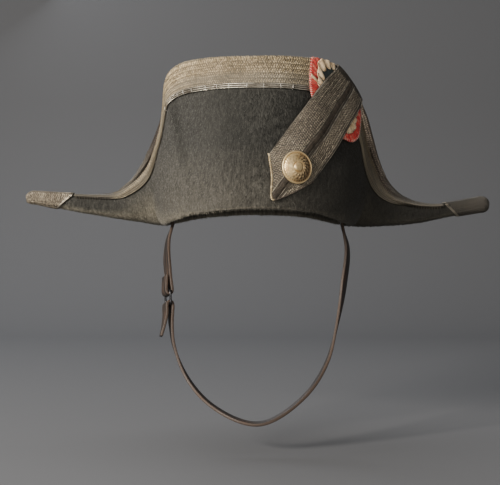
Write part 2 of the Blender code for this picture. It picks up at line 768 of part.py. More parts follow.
def make_cockade(face, cloth):
    """Pleated rosette, its rim cut along the flap's edge."""
    base = GALLOON_GAP + GALLOON_THICK + COCKADE_GAP
    count = 2 * COCKADE_PLEATS
    rims = []
    for k in range(count):
        angle = 2 * math.pi * k / count
        for radius in rim_radius(angle) * np.linspace(1, 0.5, COCKADE_CUTS):
            turn, high = rosette_place(angle, radius)
            if high <= rosette_limit(face, turn):
                break
        rims.append((angle, radius))
    points = []
    for share in COCKADE_RINGS:
        for k, (angle, radius) in enumerate(rims):
            turn, high = rosette_place(angle, share * radius)
            points.append(face.point(turn, high, base + COCKADE_PLEAT * share * (k % 2))[0])
    points.append(face.point(COCKADE_TURN, COCKADE_HEIGHT, base)[0])
    faces = grid_faces(len(COCKADE_RINGS), count, closed=True)
    faces += [((k + 1) % count, k, len(points) - 1) for k in range(count)]
    mesh = mesh_from("cockade", points, faces, smooth=False)
    face_mesh(mesh, Vector((0, -3 * HOLE_Y, 0)))
    return shell(new_object("cockade", mesh, cloth), COCKADE_THICK, 1)


def table_place(along, across):
    """Compass turn and height in the loop's table: across runs from -1 at its left edge to 1."""
    row = interpolate(LOOP, [along])[0]
    left, middle, right = row[0:2], row[2:4], row[4:6]
    end = right if across > 0 else left
    turn, high = middle + (end - middle) * abs(across)
    return turn, high * FLAP_HEIGHT


def loop_place(face, along, across):
    """Compass turn and height on the loop, its last row brought to the flap's edge."""
    turn, high = table_place(along, across)
    last_turn, last_high = table_place(1, across)
    return turn, high + along**3 * (face.edge_height(last_turn) - last_high)


def loop_lift(turn, high):
    """Gap under the loop: it lies on the felt below and rises over the cockade."""
    across, up = math.radians(turn - COCKADE_TURN) * HOLE_Y, high - COCKADE_HEIGHT
    beyond = math.hypot(across, up) - rim_radius(math.atan2(up, across))
    share = min(1, max(0, (LOOP_RAMP - beyond) / (LOOP_RAMP - LOOP_MARGIN)))
    return LOOP_GAP + COCKADE_TOP * share * share * (3 - 2 * share)


def make_loop(face, flap, braid):
    """Doubled braid from its point, up over the cockade, and turned in over the edge."""
    over = GALLOON_GAP + GALLOON_THICK + CLEARANCE
    under = INNER_GAP + GALLOON_THICK + 2 * CLEARANCE
    rows = []
    for step in range(LOOP_STEPS):
        row = []
        for k in range(-LOOP_HALF, LOOP_HALF + 1):
            along = LOOP_FACE * step / (LOOP_STEPS - 1)
            turn, high = loop_place(face, along, k / LOOP_HALF)
            row.append(face.point(turn, high, loop_lift(turn, high))[0])
        rows.append(row)
    turned = []
    for k in range(-LOOP_HALF, LOOP_HALF + 1):
        station = face.edge_station(loop_place(face, 1, k / LOOP_HALF)[0])
        column = [flap.edge(station, COCKADE_TOP + LOOP_GAP, LOOP_START * over)]
        for inside, off, beyond in LOOP_OVER:
            clear = under if inside else over
            column.append(flap.edge(station, off * clear, beyond * over, inside))
        column.append(flap.place(station, LOOP_TURN_IN, under, inside=True))
        turned.append(column)
    grid = np.array(rows + list(zip(*turned, strict=True)))
    mesh = mesh_from("cockade_loop", grid.reshape(-1, 3), grid_faces(*grid.shape[:2]))
    face_mesh(mesh, Vector((0, -3 * HOLE_Y, 0)))
    return shell(new_object("cockade_loop", mesh, braid), LOOP_THICK, 1)


def make_button(face, metal):
    """Domed button with a rim, a ring of leaves and a plain boss."""
    count = 2 * BUTTON_LEAVES
    points = [(0, 0, 0)]
    for radius, high, relief in BUTTON_PROFILE:
        for k in range(count):
            angle = 2 * math.pi * k / count
            points.append(
                (
                    BUTTON_RADIUS * radius * math.cos(angle),
                    BUTTON_RADIUS * radius * math.sin(angle),
                    BUTTON_HEIGHT * high + BUTTON_RELIEF * relief * (k % 2),
                )
            )
    points.append((0, 0, BUTTON_HEIGHT))
    faces = [(0, 1 + (k + 1) % count, 1 + k) for k in range(count)]
    faces += [
        tuple(1 + index for index in quad)
        for quad in grid_faces(len(BUTTON_PROFILE), count, closed=True)
    ]
    first = 1 + (len(BUTTON_PROFILE) - 1) * count
    faces += [(first + k, first + (k + 1) % count, len(points) - 1) for k in range(count)]
    button = new_object("button", mesh_from("button", points, faces), metal)
    lift = LOOP_GAP + LOOP_THICK + 2 * CLEARANCE
    place, normal = face.point(BUTTON_TURN, BUTTON_PLACE, lift)
    button.location = place
    button.rotation_euler = Vector(normal).to_track_quat("Z", "Y").to_euler()
    return button


class StrapPath:
    """The chin strap's centre line, found by its distance from the -X end."""

    def __init__(self):
        reach = HEAD_WIDTH / 2 - CLEARANCE - STRAP_THICK / 2
        rows = np.array(STRAP, float)
        places = rows[:, :3] * np.array([reach, -STRAP_FORWARD, -STRAP_DROP])
        chords = np.linalg.norm(np.diff(places, axis=0), axis=1)
        knots = np.concatenate([[0], np.cumsum(chords)])
        table = np.column_stack([knots, places, rows[:, 3]])
        fine = interpolate(table, np.linspace(0, knots[-1], 2 * SAMPLES))
        steps = np.linalg.norm(np.diff(fine[:, :3], axis=0), axis=1)
        self.way = np.concatenate([[0], np.cumsum(steps)])
        self.fine = fine
        self.length = self.way[-1]
        self.middle = BUCKLE_SHARE * self.length

    def at(self, distance):
        """Place, direction, width direction and outward direction."""
        values = [np.interp(distance, self.way, self.fine[:, k]) for k in range(4)]
        near = [distance - STRAP_THICK / 2, distance + STRAP_THICK / 2]
        ahead = [np.interp(near, self.way, self.fine[:, k]) for k in range(3)]
        run = unit(np.array([pair[1] - pair[0] for pair in ahead]))
        twist = math.radians(values[3])
        width = np.array([math.sin(twist), -math.cos(twist), 0])
        width = unit(width - width.dot(run) * run)
        return np.array(values[:3]), run, width, np.cross(run, width)


def strip(name, path, route, leather):
    """A flat strap along a route of distances and offsets off the path."""
    centre, run, flat_width, flat_out = path.at(path.middle)
    centres, widths = [], []
    for distance, offset in route:
        place, _, width, out = path.at(distance)
        near = distance - path.middle
        share = min(1, max(0, (STRAP_STRAIGHT + STRAP_BEND - abs(near)) / STRAP_BEND))
        flat = centre + run * near + flat_out * offset
        centres.append((place + out * offset) * (1 - share) + flat * share)
        widths.append(unit(width * (1 - share) + flat_width * share))
    centres = np.array(centres)
    points = []
    for k, (centre, width) in enumerate(zip(centres, widths, strict=True)):
        run = unit(centres[min(k + 1, len(centres) - 1)] - centres[max(k - 1, 0)])
        width = unit(width - width.dot(run) * run)
        thick = np.cross(width, run)
        for across, up in ((-1, -1), (1, -1), (1, 1), (-1, 1)):
            corner = across * width * STRAP_WIDTH / 2 + up * thick * STRAP_THICK / 2
            points.append(centre + corner)
    faces = grid_faces(len(centres), 4, closed=True)
    faces += [(3, 2, 1, 0), tuple(len(points) - 4 + k for k in range(4))]
    return new_object(name, mesh_from(name, points, faces), leather)


def fold(bar, away, ends):
    """Route round a slide's bar: towards it on the inside, round it, and back outside."""
    radius = BUCKLE_BAR / 2 + CLEARANCE + STRAP_THICK / 2
    route = [(bar + away * way, -radius * share) for way, share in APPROACH]
    for step in range(FOLD_STEPS + 1):
        angle = math.pi * step / FOLD_STEPS
        route.append((bar - away * radius * math.sin(angle), -radius * math.cos(angle)))
    return route + [(bar + away * way, radius * share) for way, share in ends]


def make_straps(leather):
    """The long and the short part, each folded round a bar of the slide."""
    path = StrapPath()
    half = (BUCKLE_GAP + BUCKLE_BAR) / 2
    upper, lower = path.middle - half, path.middle + half
    first = APPROACH[0][0]
    top = np.linspace(0, upper - first, SHORT_STEPS)[:-1]
    bottom = np.linspace(path.length, lower + first, LONG_STEPS)[:-1]
    folded = [(share * STRAP_FOLD, out) for share, out in FOLDED_END]
    free = [(share * STRAP_TAIL, out) for share, out in FREE_END]
    route = [(way, 0.0) for way in top] + fold(upper, -1, folded)
    strip("strap_short", path, route, leather)
    route = [(way, 0.0) for way in bottom] + fold(lower, 1, free)
    strip("strap_long", path, route, leather)
    return path


def make_buckle(path, metal):
    """Dark wire slide that joins the two straps."""
    curve = bpy.data.curves.new("strap_buckle", "CURVE")
    curve.dimensions = "3D"
    curve.bevel_depth = BUCKLE_BAR / 2
    curve.bevel_resolution = 1
    curve.use_fill_caps = True
    across = STRAP_WIDTH / 2 + 2 * CLEARANCE + BUCKLE_BAR / 2
    down = (BUCKLE_GAP + BUCKLE_BAR) / 2
    cut = BUCKLE_BAR / 2
    corners = []
    for x, y in ((-1, -1), (1, -1), (1, 1), (-1, 1)):
        near = (x * across, y * (down - cut)), (x * (across - cut), y * down)
        corners += near if x * y > 0 else near[::-1]
    line = curve.splines.new("POLY")
    line.points.add(len(corners) - 1)
    for point, (x, y) in zip(line.points, corners, strict=True):
        point.co = (x, y, 0, 1)
    line.use_cyclic_u = True
    slide = new_object("strap_buckle", curve, metal)
    place, run, width, _ = path.at(path.middle)
    turn = Matrix((width, run, np.cross(width, run))).transposed()
    slide.location = place
    slide.rotation_euler = turn.to_euler()
    return slide


def main():
    """Builds every piece."""
    felt = material("black_felt", (0.02, 0.019, 0.017), 0.85)
    braid = material("tarnished_galloon", (0.30, 0.26, 0.20), 0.5, 0.4)
    ribbon = material("cockade_ribbon", (0.55, 0.06, 0.05), 0.7)
    brass = material("aged_brass", (0.52, 0.44, 0.30), 0.35, 1.0)
    leather = material("dark_leather", (0.05, 0.033, 0.024), 0.55)
    iron = material("black_iron", (0.03, 0.03, 0.03), 0.45, 1.0)
    brim, front, rear = make_brim(felt)
    make_crown(felt)
    make_galloon("galloon_front", front, braid)
    make_galloon("galloon_rear", rear, braid)
    for name in SLEEVES:
        make_sleeve(name, front, rear, braid)
    face = FrontFace(brim, front)
    make_cockade(face, ribbon)
    make_loop(face, front, braid)
    make_button(face, brass)
    make_buckle(make_straps(leather), iron)


for old in list(bpy.data.objects):
    bpy.data.objects.remove(old)
HAT = bpy.data.collections.new("bicorne")
bpy.context.scene.collection.children.link(HAT)
ROOT = bpy.data.objects.new("head_seat", None)
HAT.objects.link(ROOT)
main()
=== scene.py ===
"""The dressed bicorne: plush felt, tarnished galloon, cockade, loop, button and chin strap.

Metres, +Z up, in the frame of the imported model. The front flap faces -Y and +X is at the
wearer's left. Distances on a surface that feed a material are kept in millimetres.
"""

import json
import math

import bmesh
import bpy
import numpy as np
from mathutils import Matrix, Vector
from mathutils.bvhtree import BVHTree

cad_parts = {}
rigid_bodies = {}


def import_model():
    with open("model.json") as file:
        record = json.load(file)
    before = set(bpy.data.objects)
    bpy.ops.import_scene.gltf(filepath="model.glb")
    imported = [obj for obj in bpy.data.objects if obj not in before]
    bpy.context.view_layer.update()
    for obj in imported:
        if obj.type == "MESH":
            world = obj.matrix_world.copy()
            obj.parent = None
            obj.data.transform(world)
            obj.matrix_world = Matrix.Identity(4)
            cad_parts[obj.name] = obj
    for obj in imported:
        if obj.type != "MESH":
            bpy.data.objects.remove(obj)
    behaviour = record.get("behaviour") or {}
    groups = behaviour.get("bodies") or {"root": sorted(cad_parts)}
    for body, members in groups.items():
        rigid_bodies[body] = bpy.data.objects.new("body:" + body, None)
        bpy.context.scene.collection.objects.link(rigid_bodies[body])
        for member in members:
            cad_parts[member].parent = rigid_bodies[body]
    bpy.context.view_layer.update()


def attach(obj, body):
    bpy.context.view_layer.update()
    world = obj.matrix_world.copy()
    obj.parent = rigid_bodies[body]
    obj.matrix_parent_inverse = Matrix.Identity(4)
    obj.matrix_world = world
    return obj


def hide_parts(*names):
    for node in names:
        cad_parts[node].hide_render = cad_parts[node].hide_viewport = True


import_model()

MM = 0.001

# The photograph's frame, and the camera that stands in front of the hat
FRAME_WIDTH = 500
FOCAL_PIXELS = 1135
SENSOR = 36
CAMERA_PLACE = (-6.75 * MM, -1022 * MM, -22 * MM)

# Studio: the floor's height, the wall's place and the radius of the bend between them, how far
# both reach, and the colours and lights
FLOOR_HEIGHT = -0.2
WALL_PLACE = 1.6
WALL_BEND = 0.5
WALL_STEPS = 12
STUDIO_REACH = 3.0
STUDIO_HALF = 4.0
STUDIO_COLOUR = (0.135, 0.138, 0.145)
SKY_COLOUR = (0.9, 0.93, 1.0, 1)
SKY_STRENGTH = 0.16
LIGHT_TARGET = (0, 0, 0.03)
LIGHTS = [
    # name, place, size, power, colour
    ("key", (-1.3, -1.35, 0.6), 0.7, 62, (1.0, 0.94, 0.86)),
    ("fill", (0.2, -1.6, 0.2), 1.2, 9, (1.0, 0.95, 0.88)),
    ("top", (-0.3, 0.3, 1.5), 1.0, 8, (1, 1, 1)),
    ("back", (-0.6, 1.3, 0.9), 0.8, 6, (0.92, 0.95, 1.0)),
]

# Sizes of the hat, as in the model. Turns and leans are in degrees throughout.
HEAD_WIDTH = 158 * MM
HEAD_LENGTH = 196 * MM
FELT = 2.5 * MM
CLEARANCE = 0.3 * MM
CROWN_HEIGHT = 106 * MM
FLAP_HEIGHT = 132 * MM
HORN_REACH = 118 * MM
ROLL = 10 * MM
LEVEL = 2.0 * MM
GALLOON_WIDTH = 27 * MM
GALLOON_TURN = 12 * MM
GALLOON_THICK = 0.9 * MM
GALLOON_GAP = 0.6 * MM
INNER_GAP = 1.15 * MM
TIP_BEYOND = 8 * MM
SLEEVE_GAP = 1.2 * MM
COCKADE_RADIUS = 34.5 * MM
COCKADE_THICK = 1.2 * MM
COCKADE_GAP = 0.6 * MM
COCKADE_PLEAT = 1.0 * MM
COCKADE_TURN = 44.5
COCKADE_HEIGHT = 96 * MM
COCKADE_EDGE = 0.3 * MM
LOOP_THICK = 1.3 * MM
LOOP_GAP = 1.0 * MM
LOOP_TURN_IN = 13 * MM
BUTTON_RADIUS = 13.6 * MM
BUTTON_HEIGHT = 5.2 * MM
BUTTON_TURN = 17.2
BUTTON_PLACE = 38.8 * MM
BUTTON_BACK = 1.6 * MM
STRAP_WIDTH = 14 * MM
STRAP_THICK = 2.5 * MM
STRAP_DROP = 175 * MM
STRAP_FORWARD = 65 * MM
STRAP_TAIL = 26 * MM
STRAP_FOLD = 14 * MM
BUCKLE_BAR = 2.0 * MM
BUCKLE_GAP = 10 * MM
BUCKLE_SHARE = 0.185
HOLE_X = HEAD_WIDTH / 2 + FELT + CLEARANCE
HOLE_Y = HEAD_LENGTH / 2 + FELT + CLEARANCE
BEFORE = (0, -3 * HOLE_Y, 0)
COCKADE_TOP = GALLOON_GAP + GALLOON_THICK + COCKADE_GAP + COCKADE_PLEAT + COCKADE_THICK

# Height of the seat at each station, as a share of FLAP_HEIGHT
SEAT_HEIGHTS = [
    # station, high
    (-1.00, 0.108),
    (-0.80, 0.068),
    (-0.52, 0.022),
    (-0.20, -0.022),
    (0.00, -0.044),
    (0.15, -0.020),
    (0.30, 0.020),
    (0.50, 0.041),
    (0.70, 0.020),
    (0.85, -0.028),
    (1.00, -0.050),
    (1.22, -0.052),
    (1.52, -0.030),
    (1.80, 0.020),
    (2.00, 0.050),
]

# Sections of the two flaps: compass and length of the level start, free edge as shares of the
# hat's sizes, compass and elevation of the outer face there, and the straight run below it
FRONT = [
    # station, out, roll, wide, reach, deep, high, face, tilt, rise
    (-1.00, 90, 0.45, -1.00, -1.00, 0.058, 0.165, 90, 0, 0.030),
    (-0.80, 90, 0.65, -1.00, -0.80, 0.078, 0.156, 90, -8, 0.040),
    (-0.52, 88, 1.05, -1.00, -0.54, 0.100, 0.147, 88, -14, 0.060),
    (-0.32, 80, 1.40, -1.00, -0.38, 0.140, 0.152, 78, -18, 0.080),
    (-0.16, 68, 1.70, -1.00, -0.28, 0.190, 0.190, 62, -18, 0.110),
    (-0.04, 56, 1.75, -1.00, -0.18, 0.255, 0.262, 42, -12, 0.140),
    (0.05, 48, 1.60, -1.00, -0.105, 0.305, 0.350, 24, -6, 0.160),
    (0.12, 44, 1.40, -1.00, -0.050, 0.335, 0.470, 8, 0, 0.170),
    (0.18, 43, 1.25, -1.00, -0.008, 0.345, 0.610, 0, 2, 0.180),
    (0.235, 45, 1.15, -0.985, 0.00, 0.355, 0.745, -2, 3, 0.190),
    (0.28, 50, 1.10, -0.968, 0.00, 0.395, 0.870, 4, 5, 0.200),
    (0.32, 56, 1.05, -0.915, 0.00, 0.465, 0.940, 26, 8, 0.220),
    (0.36, 64, 1.00, -0.790, 0.00, 0.570, 0.977, 48, 11, 0.300),
    (0.41, 73, 1.00, -0.540, 0.00, 0.710, 0.991, 68, 14, 0.400),
    (0.50, 90, 1.00, 0.000, 0.00, 0.842, 0.991, 90, 15, 0.480),
    (0.59, 107, 1.00, 0.420, 0.00, 0.780, 0.992, 107, 14, 0.420),
    (0.64, 117, 1.00, 0.640, 0.00, 0.670, 0.986, 120, 12, 0.320),
    (0.68, 125, 1.05, 0.790, 0.00, 0.560, 0.950, 136, 8, 0.240),
    (0.72, 131, 1.10, 0.930, 0.00, 0.445, 0.862, 158, 5, 0.200),
    (0.765, 135, 1.20, 1.00, 0.030, 0.370, 0.744, 172, 3, 0.180),
    (0.82, 137, 1.30, 1.00, 0.070, 0.345, 0.615, 174, 2, 0.170),
    (0.88, 136, 1.45, 1.00, 0.100, 0.325, 0.480, 168, 0, 0.170),
    (0.95, 132, 1.60, 1.00, 0.155, 0.285, 0.345, 154, -6, 0.160),
    (1.04, 124, 1.75, 1.00, 0.220, 0.230, 0.225, 136, -12, 0.140),
    (1.16, 112, 1.65, 1.00, 0.300, 0.175, 0.148, 116, -18, 0.110),
    (1.32, 100, 1.35, 1.00, 0.430, 0.130, 0.104, 100, -18, 0.080),
    (1.52, 92, 1.05, 1.00, 0.580, 0.098, 0.083, 92, -14, 0.060),
    (1.80, 90, 0.65, 1.00, 0.80, 0.080, 0.095, 90, -8, 0.040),
    (2.00, 90, 0.45, 1.00, 1.00, 0.058, 0.130, 90, 0, 0.030),
]
REAR = [
    # station, out, roll, wide, reach, deep, high, face, tilt, rise
    (-1.00, 90, 0.45, -1.00, -1.00, 0.058, 0.165, 90, 0, 0.030),
    (-0.80, 90, 0.65, -1.00, -0.80, 0.078, 0.158, 90, -8, 0.040),
    (-0.52, 88, 1.10, -1.00, -0.56, 0.105, 0.152, 88, -14, 0.060),
    (-0.32, 80, 1.45, -1.00, -0.42, 0.155, 0.160, 80, -18, 0.080),
    (-0.14, 66, 1.70, -1.00, -0.34, 0.225, 0.215, 66, -18, 0.120),
    (0.00, 50, 1.80, -1.00, -0.255, 0.290, 0.310, 44, -12, 0.150),
    (0.09, 41, 1.65, -1.00, -0.180, 0.335, 0.430, 26, -6, 0.170),
    (0.17, 38, 1.45, -1.00, -0.100, 0.360, 0.590, 12, 0, 0.170),
    (0.24, 43, 1.30, -1.00, -0.045, 0.390, 0.745, 12, 3, 0.170),
    (0.30, 52, 1.20, -1.00, -0.015, 0.460, 0.880, 26, 6, 0.220),
    (0.36, 64, 1.10, -0.940, 0.00, 0.590, 0.975, 46, 10, 0.320),
    (0.42, 75, 1.05, -0.640, 0.00, 0.770, 1.030, 68, 13, 0.420),
    (0.50, 90, 1.05, 0.000, 0.00, 0.880, 1.050, 90, 14, 0.500),
    (0.58, 105, 1.05, 0.640, 0.00, 0.770, 1.030, 112, 13, 0.420),
    (0.64, 116, 1.10, 0.970, 0.00, 0.590, 0.975, 134, 10, 0.320),
    (0.70, 128, 1.20, 1.00, 0.090, 0.460, 0.880, 154, 6, 0.220),
    (0.76, 137, 1.30, 1.00, 0.158, 0.390, 0.745, 168, 3, 0.170),
    (0.83, 142, 1.45, 1.00, 0.205, 0.360, 0.590, 168, 0, 0.170),
    (0.91, 139, 1.65, 1.00, 0.255, 0.335, 0.420, 154, -6, 0.170),
    (1.00, 130, 1.80, 1.00, 0.310, 0.290, 0.285, 136, -12, 0.150),
    (1.14, 114, 1.70, 1.00, 0.385, 0.225, 0.180, 114, -18, 0.120),
    (1.32, 100, 1.45, 1.00, 0.485, 0.155, 0.116, 100, -18, 0.080),
    (1.52, 92, 1.10, 1.00, 0.605, 0.105, 0.090, 92, -14, 0.060),
    (1.80, 90, 0.65, 1.00, 0.80, 0.080, 0.098, 90, -8, 0.040),
    (2.00, 90, 0.45, 1.00, 1.00, 0.058, 0.130, 90, 0, 0.030),
]

# The galloon's leaves, as shares of GALLOON_WIDTH outside and of GALLOON_TURN inside
LEAVES = [
    # station, outside, inside
    (-1.00, 0.05, 0.55),
    (-0.50, 0.06, 0.70),
    (-0.25, 0.14, 0.90),
    (-0.05, 0.27, 1.00),
    (0.12, 0.48, 1.00),
    (0.25, 0.92, 1.00),
    (0.50, 1.00, 1.00),
    (0.75, 1.00, 1.00),
    (0.88, 0.72, 1.00),
    (1.05, 0.34, 1.00),
    (1.25, 0.14, 0.90),
    (1.50, 0.06, 0.70),
    (2.00, 0.05, 0.55),
]

# Crown: radius at each height, shares of the headline and of CROWN_HEIGHT
CROWN_PROFILE = [
    # high, radius
    (0.00, 1.000),
    (0.30, 0.985),
    (0.55, 0.945),
    (0.72, 0.875),
    (0.86, 0.750),
    (0.94, 0.600),
    (0.985, 0.380),
    (1.00, 0.140),
]

# Where the galloon sleeves of the horns' ends begin, as shares of HORN_REACH
SLEEVES = {
    # name: (station sign, start at the keel, start at the edge)
    "tip_left": (-1, 0.86, 0.70),
    "tip_right": (1, 0.85, 0.71),
}

# Loop over the cockade: compass from the front centre in degrees towards +X, and height as a
# share of FLAP_HEIGHT, of its left edge, middle and right edge. The last row is at the edge.
LOOP = [
    # along, left turn, left high, middle turn, middle high, right turn, right high
    (0.00, 4.7, 0.376, 5.3, 0.076, 26.4, 0.211),
    (0.33, 18.5, 0.610, 22.2, 0.396, 36.6, 0.345),
    (0.67, 32.6, 0.820, 40.1, 0.667, 51.5, 0.580),
    (1.00, 47.8, 0.965, 57.5, 0.865, 66.0, 0.765),
]

# Chin strap from the -X side to the +X side: shares of the strap's reach to the side, of
# STRAP_FORWARD and of STRAP_DROP, and its twist from edge-on in degrees
STRAP = [
    # across, forward, drop, twist
    (-0.972, 0.00, -0.070, 0),
    (-0.980, 0.00, 0.020, 0),
    (-1.035, 0.06, 0.110, 12),
    (-1.045, 0.16, 0.210, 22),
    (-1.030, 0.27, 0.340, 22),
    (-1.010, 0.35, 0.470, 16),
    (-0.965, 0.42, 0.610, 10),
    (-0.800, 0.56, 0.790, 0),
    (-0.500, 0.80, 0.925, 0),
    (0.000, 1.00, 1.000, 0),
    (0.500, 0.78, 0.885, 0),
    (0.780, 0.50, 0.720, 0),
    (0.905, 0.35, 0.530, -8),
    (0.990, 0.22, 0.330, -20),
    (1.035, 0.10, 0.150, -14),
    (0.980, 0.00, 0.020, 0),
    (0.972, 0.00, -0.070, 0),
]

# The felt is pressed thinner where a section is shorter than this, down to this share
PRESSED_WAY = 28 * MM
PRESSED_SHARE = 0.5

# How the front face is read: how far below the edge at most, and how far apart for its slope
FACE_MARGIN = 1.5 * MM
FACE_STEP = 4 * MM
FACE_TURN = 2.0

# Stations over which the level starts are evened out, and their weights, and how far to both
# sides of a station the edge's direction is read
ROLL_SPREAD = 0.16
ROLL_WEIGHTS = [(-1, 1), (-0.5, 4), (0, 6), (0.5, 4), (1, 1)]
EDGE_WINDOW = 0.022

# The cockade's rim: angle from +X in degrees, and share of COCKADE_RADIUS
COCKADE_RIM = [
    # angle, radius
    (-90, 0.86),
    (-78, 0.93),
    (-67, 1.05),
    (-52, 1.075),
    (-32, 0.98),
    (0, 1.06),
    (45, 1.18),
    (90, 1.30),
    (120, 1.32),
    (134, 1.14),
    (148, 1.015),
    (163, 0.915),
    (180, 0.84),
    (225, 0.80),
    (270, 0.86),
]

# How many radii are tried where the flap's edge cuts the cockade
COCKADE_CUTS = 90

# Loop: share of it that lies on the flap's face, and how far before the cockade it begins to
# rise and has risen
LOOP_FACE = 0.975
LOOP_RAMP = 30 * MM
LOOP_MARGIN = 2 * MM

# Grid of the strap, where it runs straight beside the slide and bends into its path, its
# rounded edge, and the steps round a bar
SHORT_STEPS = 9
LONG_STEPS = 44
SHORT_RINGS = 120
LONG_RINGS = 420
STRAP_STRAIGHT = 12 * MM
STRAP_BEND = 14 * MM
STRAP_CORNER = 0.7 * MM
BAR_STEPS = 9

# A direction that no tube starts along
TUBE_AWAY = (0.3, 0.5, 0.81)

# How a strap comes to a bar, how its folded end lies and how the long strap's free end
# leaves: distance from the bar (the last two as shares of STRAP_FOLD and of STRAP_TAIL), and
# offset as a share of the fold's radius
APPROACH = [(34 * MM, 0.0), (24 * MM, 0.25), (14 * MM, 0.55), (7 * MM, 0.85)]
FOLDED_END = [(0.45, 0.9), (1.0, 0.62)]
FREE_END = [(0.3, 1.15), (0.62, 2.0), (1.0, 3.6)]

# Edges sharper than this stay sharp
SHARP_ANGLE = 50

# How far below a flap's edge its slope is read, and how near the galloon's ends no station lies
RISE_STEP = 2 * MM
STATION_MARGIN = 0.003

# Grids of the dressed surfaces
SAMPLES = 400
SECTION_SAMPLES = 65
BAND_SHARE = 0.3
HORN_STEPS = 40
HEAD_STEPS = 200
LOWER_STEPS = 24
LOWER_CROWDING = 1.4
BAND_STEPS = 9
CROWN_SEGMENTS = 128
CROWN_RINGS = 40
EDGE_ARC = 7
INSIDE_STEPS = 5
SLEEVE_RINGS = 22
SLEEVE_SHARES = 12
LOOP_STEPS = 90
LOOP_HALF = 24
BUTTON_SIDES = 192

# Galloon: its weave of small raised threads with the ticks along its fold, its border wires
# and its tack stitches
THREAD_PITCH = 2.0 * MM
THREAD_ROW = 2.15 * MM
THREAD_LONG = 3.3 * MM
THREAD_WIDE = 0.95 * MM
THREAD_HIGH = 0.6 * MM
THREAD_LEAN = 58
THREAD_SUNK = 0.1 * MM
THREAD_AHEAD = 0.5 * MM
THREAD_POINTS = 6
THREAD_TOP = 0.45
WEAVE_JITTER = (0.15 * MM, 0.16 * MM, 5)
TICK_PITCH = 2.4 * MM
TICK_LONG = 4.2 * MM
TICK_JITTER = 5
TICK_BACK = 0.3
WEAVE_SPARE = 4 * MM
BORDER = 4.6 * MM
BORDER_SPARE = 1 * MM
INNER_MARGIN = 0.6 * MM
WIRE_PLACES = (0.3 * MM, 2.0 * MM, 3.7 * MM)
WIRE_RADIUS = 0.34 * MM
WIRE_STEP = 1.6 * MM
WIRE_LIFT = 0.6 * WIRE_RADIUS
INNER_WIRE = 0.4 * MM
INNER_LIFT = 0.5 * WIRE_RADIUS
TACKED_SHARE = 0.9
TACK_SPACING = 13 * MM
TACK_UNEVEN = (0.7, 1.3)
TACK_RADIUS = 0.3 * MM
TACK_POINTS = 7
TACK_BEYOND = 0.2 * MM
TACK_OVER = 0.4 * MM
TACK_ARCH = 0.75 * MM
TACK_SUNK = 0.15 * MM
TACK_END = 0.9 * MM
TACK_SWAY = 0.2 * MM

# Where the galloon is dark and where it is plain on the way out, where a painted shade turns it
# from grey low down to tan and where its border ends, both in millimetres from its lower edge,
# and the colours there
DARK_ENDS = (112 * MM, 132 * MM)
PLAIN_ENDS = (72 * MM, 82 * MM)
LOWER_SHADE_BAND = (11, 16)
BORDER_BAND = (4.2, 5.0)
LOWER_SHADE_METAL = (0.17, 0.155, 0.125)
PLAIN_WIRE = (0.36, 0.31, 0.22)
DARK_WIRE = (0.03, 0.027, 0.022)

# Sleeves of the horns' ends: how far up a section they reach, how their slant curves, where
# their weave begins and ends, the wires round the opening, and the rounded tip
SLEEVE_REACH = 0.97
SLEEVE_CURVE = 0.8
SLEEVE_START = 2.6 * MM
SLEEVE_END = 1 * MM
SLEEVE_SPARE = 2 * MM
SLEEVE_SEAM = 0.99
SLEEVE_WIRES = (0.2 * MM, 1.5 * MM)
SLEEVE_WIRE_RADIUS = 1.15 * WIRE_RADIUS
SLEEVE_WIRE_STEPS = 48
SLEEVE_CLOSING = (12, 84, 7)

# Ribbons of the cockade: distances in from its rim, pleats to the full turn, lift, height of
# the pleats, depth of the scallops, and the angles between which the ribbon lies
RIBBONS = {
    # name: (finish, outer, inner, pleats, lift, pleat, scallop, first, last)
    "rosette_red": ("red", 0, 10 * MM, 60, 0, 0.5 * MM, 0, 0, 360),
    "rosette_dark": ("dark", 11 * MM, 60 * MM, 34, 0.2 * MM, 1.1 * MM, 0, 0, 360),
    "rosette_cream": ("cream", 8 * MM, 18 * MM, 27, 0.8 * MM, 1.6 * MM, 5 * MM, 0, 360),
    "rosette_tuck": ("cream", 1 * MM, 8.6 * MM, 90, 0.75 * MM, 0.5 * MM, 0, 142, 147),
}
ROSETTE_HEART = 1.5 * MM
ROSETTE_LEAN = 0.18
RIBBON_STEPS = 9
RIBBON_ROLL = 0.35 * MM
RIBBON_THICK = 0.35 * MM
PLEAT_POINTS = 8

# Light stitches round the cockade's rim and dark ones along its cream ribbon: how many, their
# (distance in from the rim, lift) in millimetres, and their radius
GATHER = ((0.0, -0.2), (-0.3, 0.5), (0.2, 1.2), (0.9, 1.35), (1.6, 1.1))
SEAM = ((7.4, 0.9), (7.8, 1.75), (8.7, 1.95), (9.1, 1.5))
STITCHES = [
    # name, finish, count, stops, radius
    ("rosette_gathers", "gather", 118, GATHER, 0.26 * MM),
    ("rosette_seam", "dark", 92, SEAM, 0.2 * MM),
]

# Lines on the loop, from its left edge at -1 to its right edge at 1
LOOP_STRIP = (-0.115, 0.115)
LOOP_WIRES = [
    # across, radius
    (-0.975, 0.24 * MM),
    (-0.88, 0.24 * MM),
    (-0.15, 0.36 * MM),
    (0.14, 0.20 * MM),
    (0.26, 0.32 * MM),
    (0.89, 0.24 * MM),
    (0.975, 0.24 * MM),
]

# Where the threads begin at the strip's right, and how far it and its wires lie off the middle
STRIP_EDGE = LOOP_WIRES[4][0]
LOOP_SWAY = [
    # along, across
    (0.00, -0.02),
    (0.20, 0.00),
    (0.40, 0.05),
    (0.60, 0.09),
    (0.80, 0.13),
    (1.00, 0.15),
]

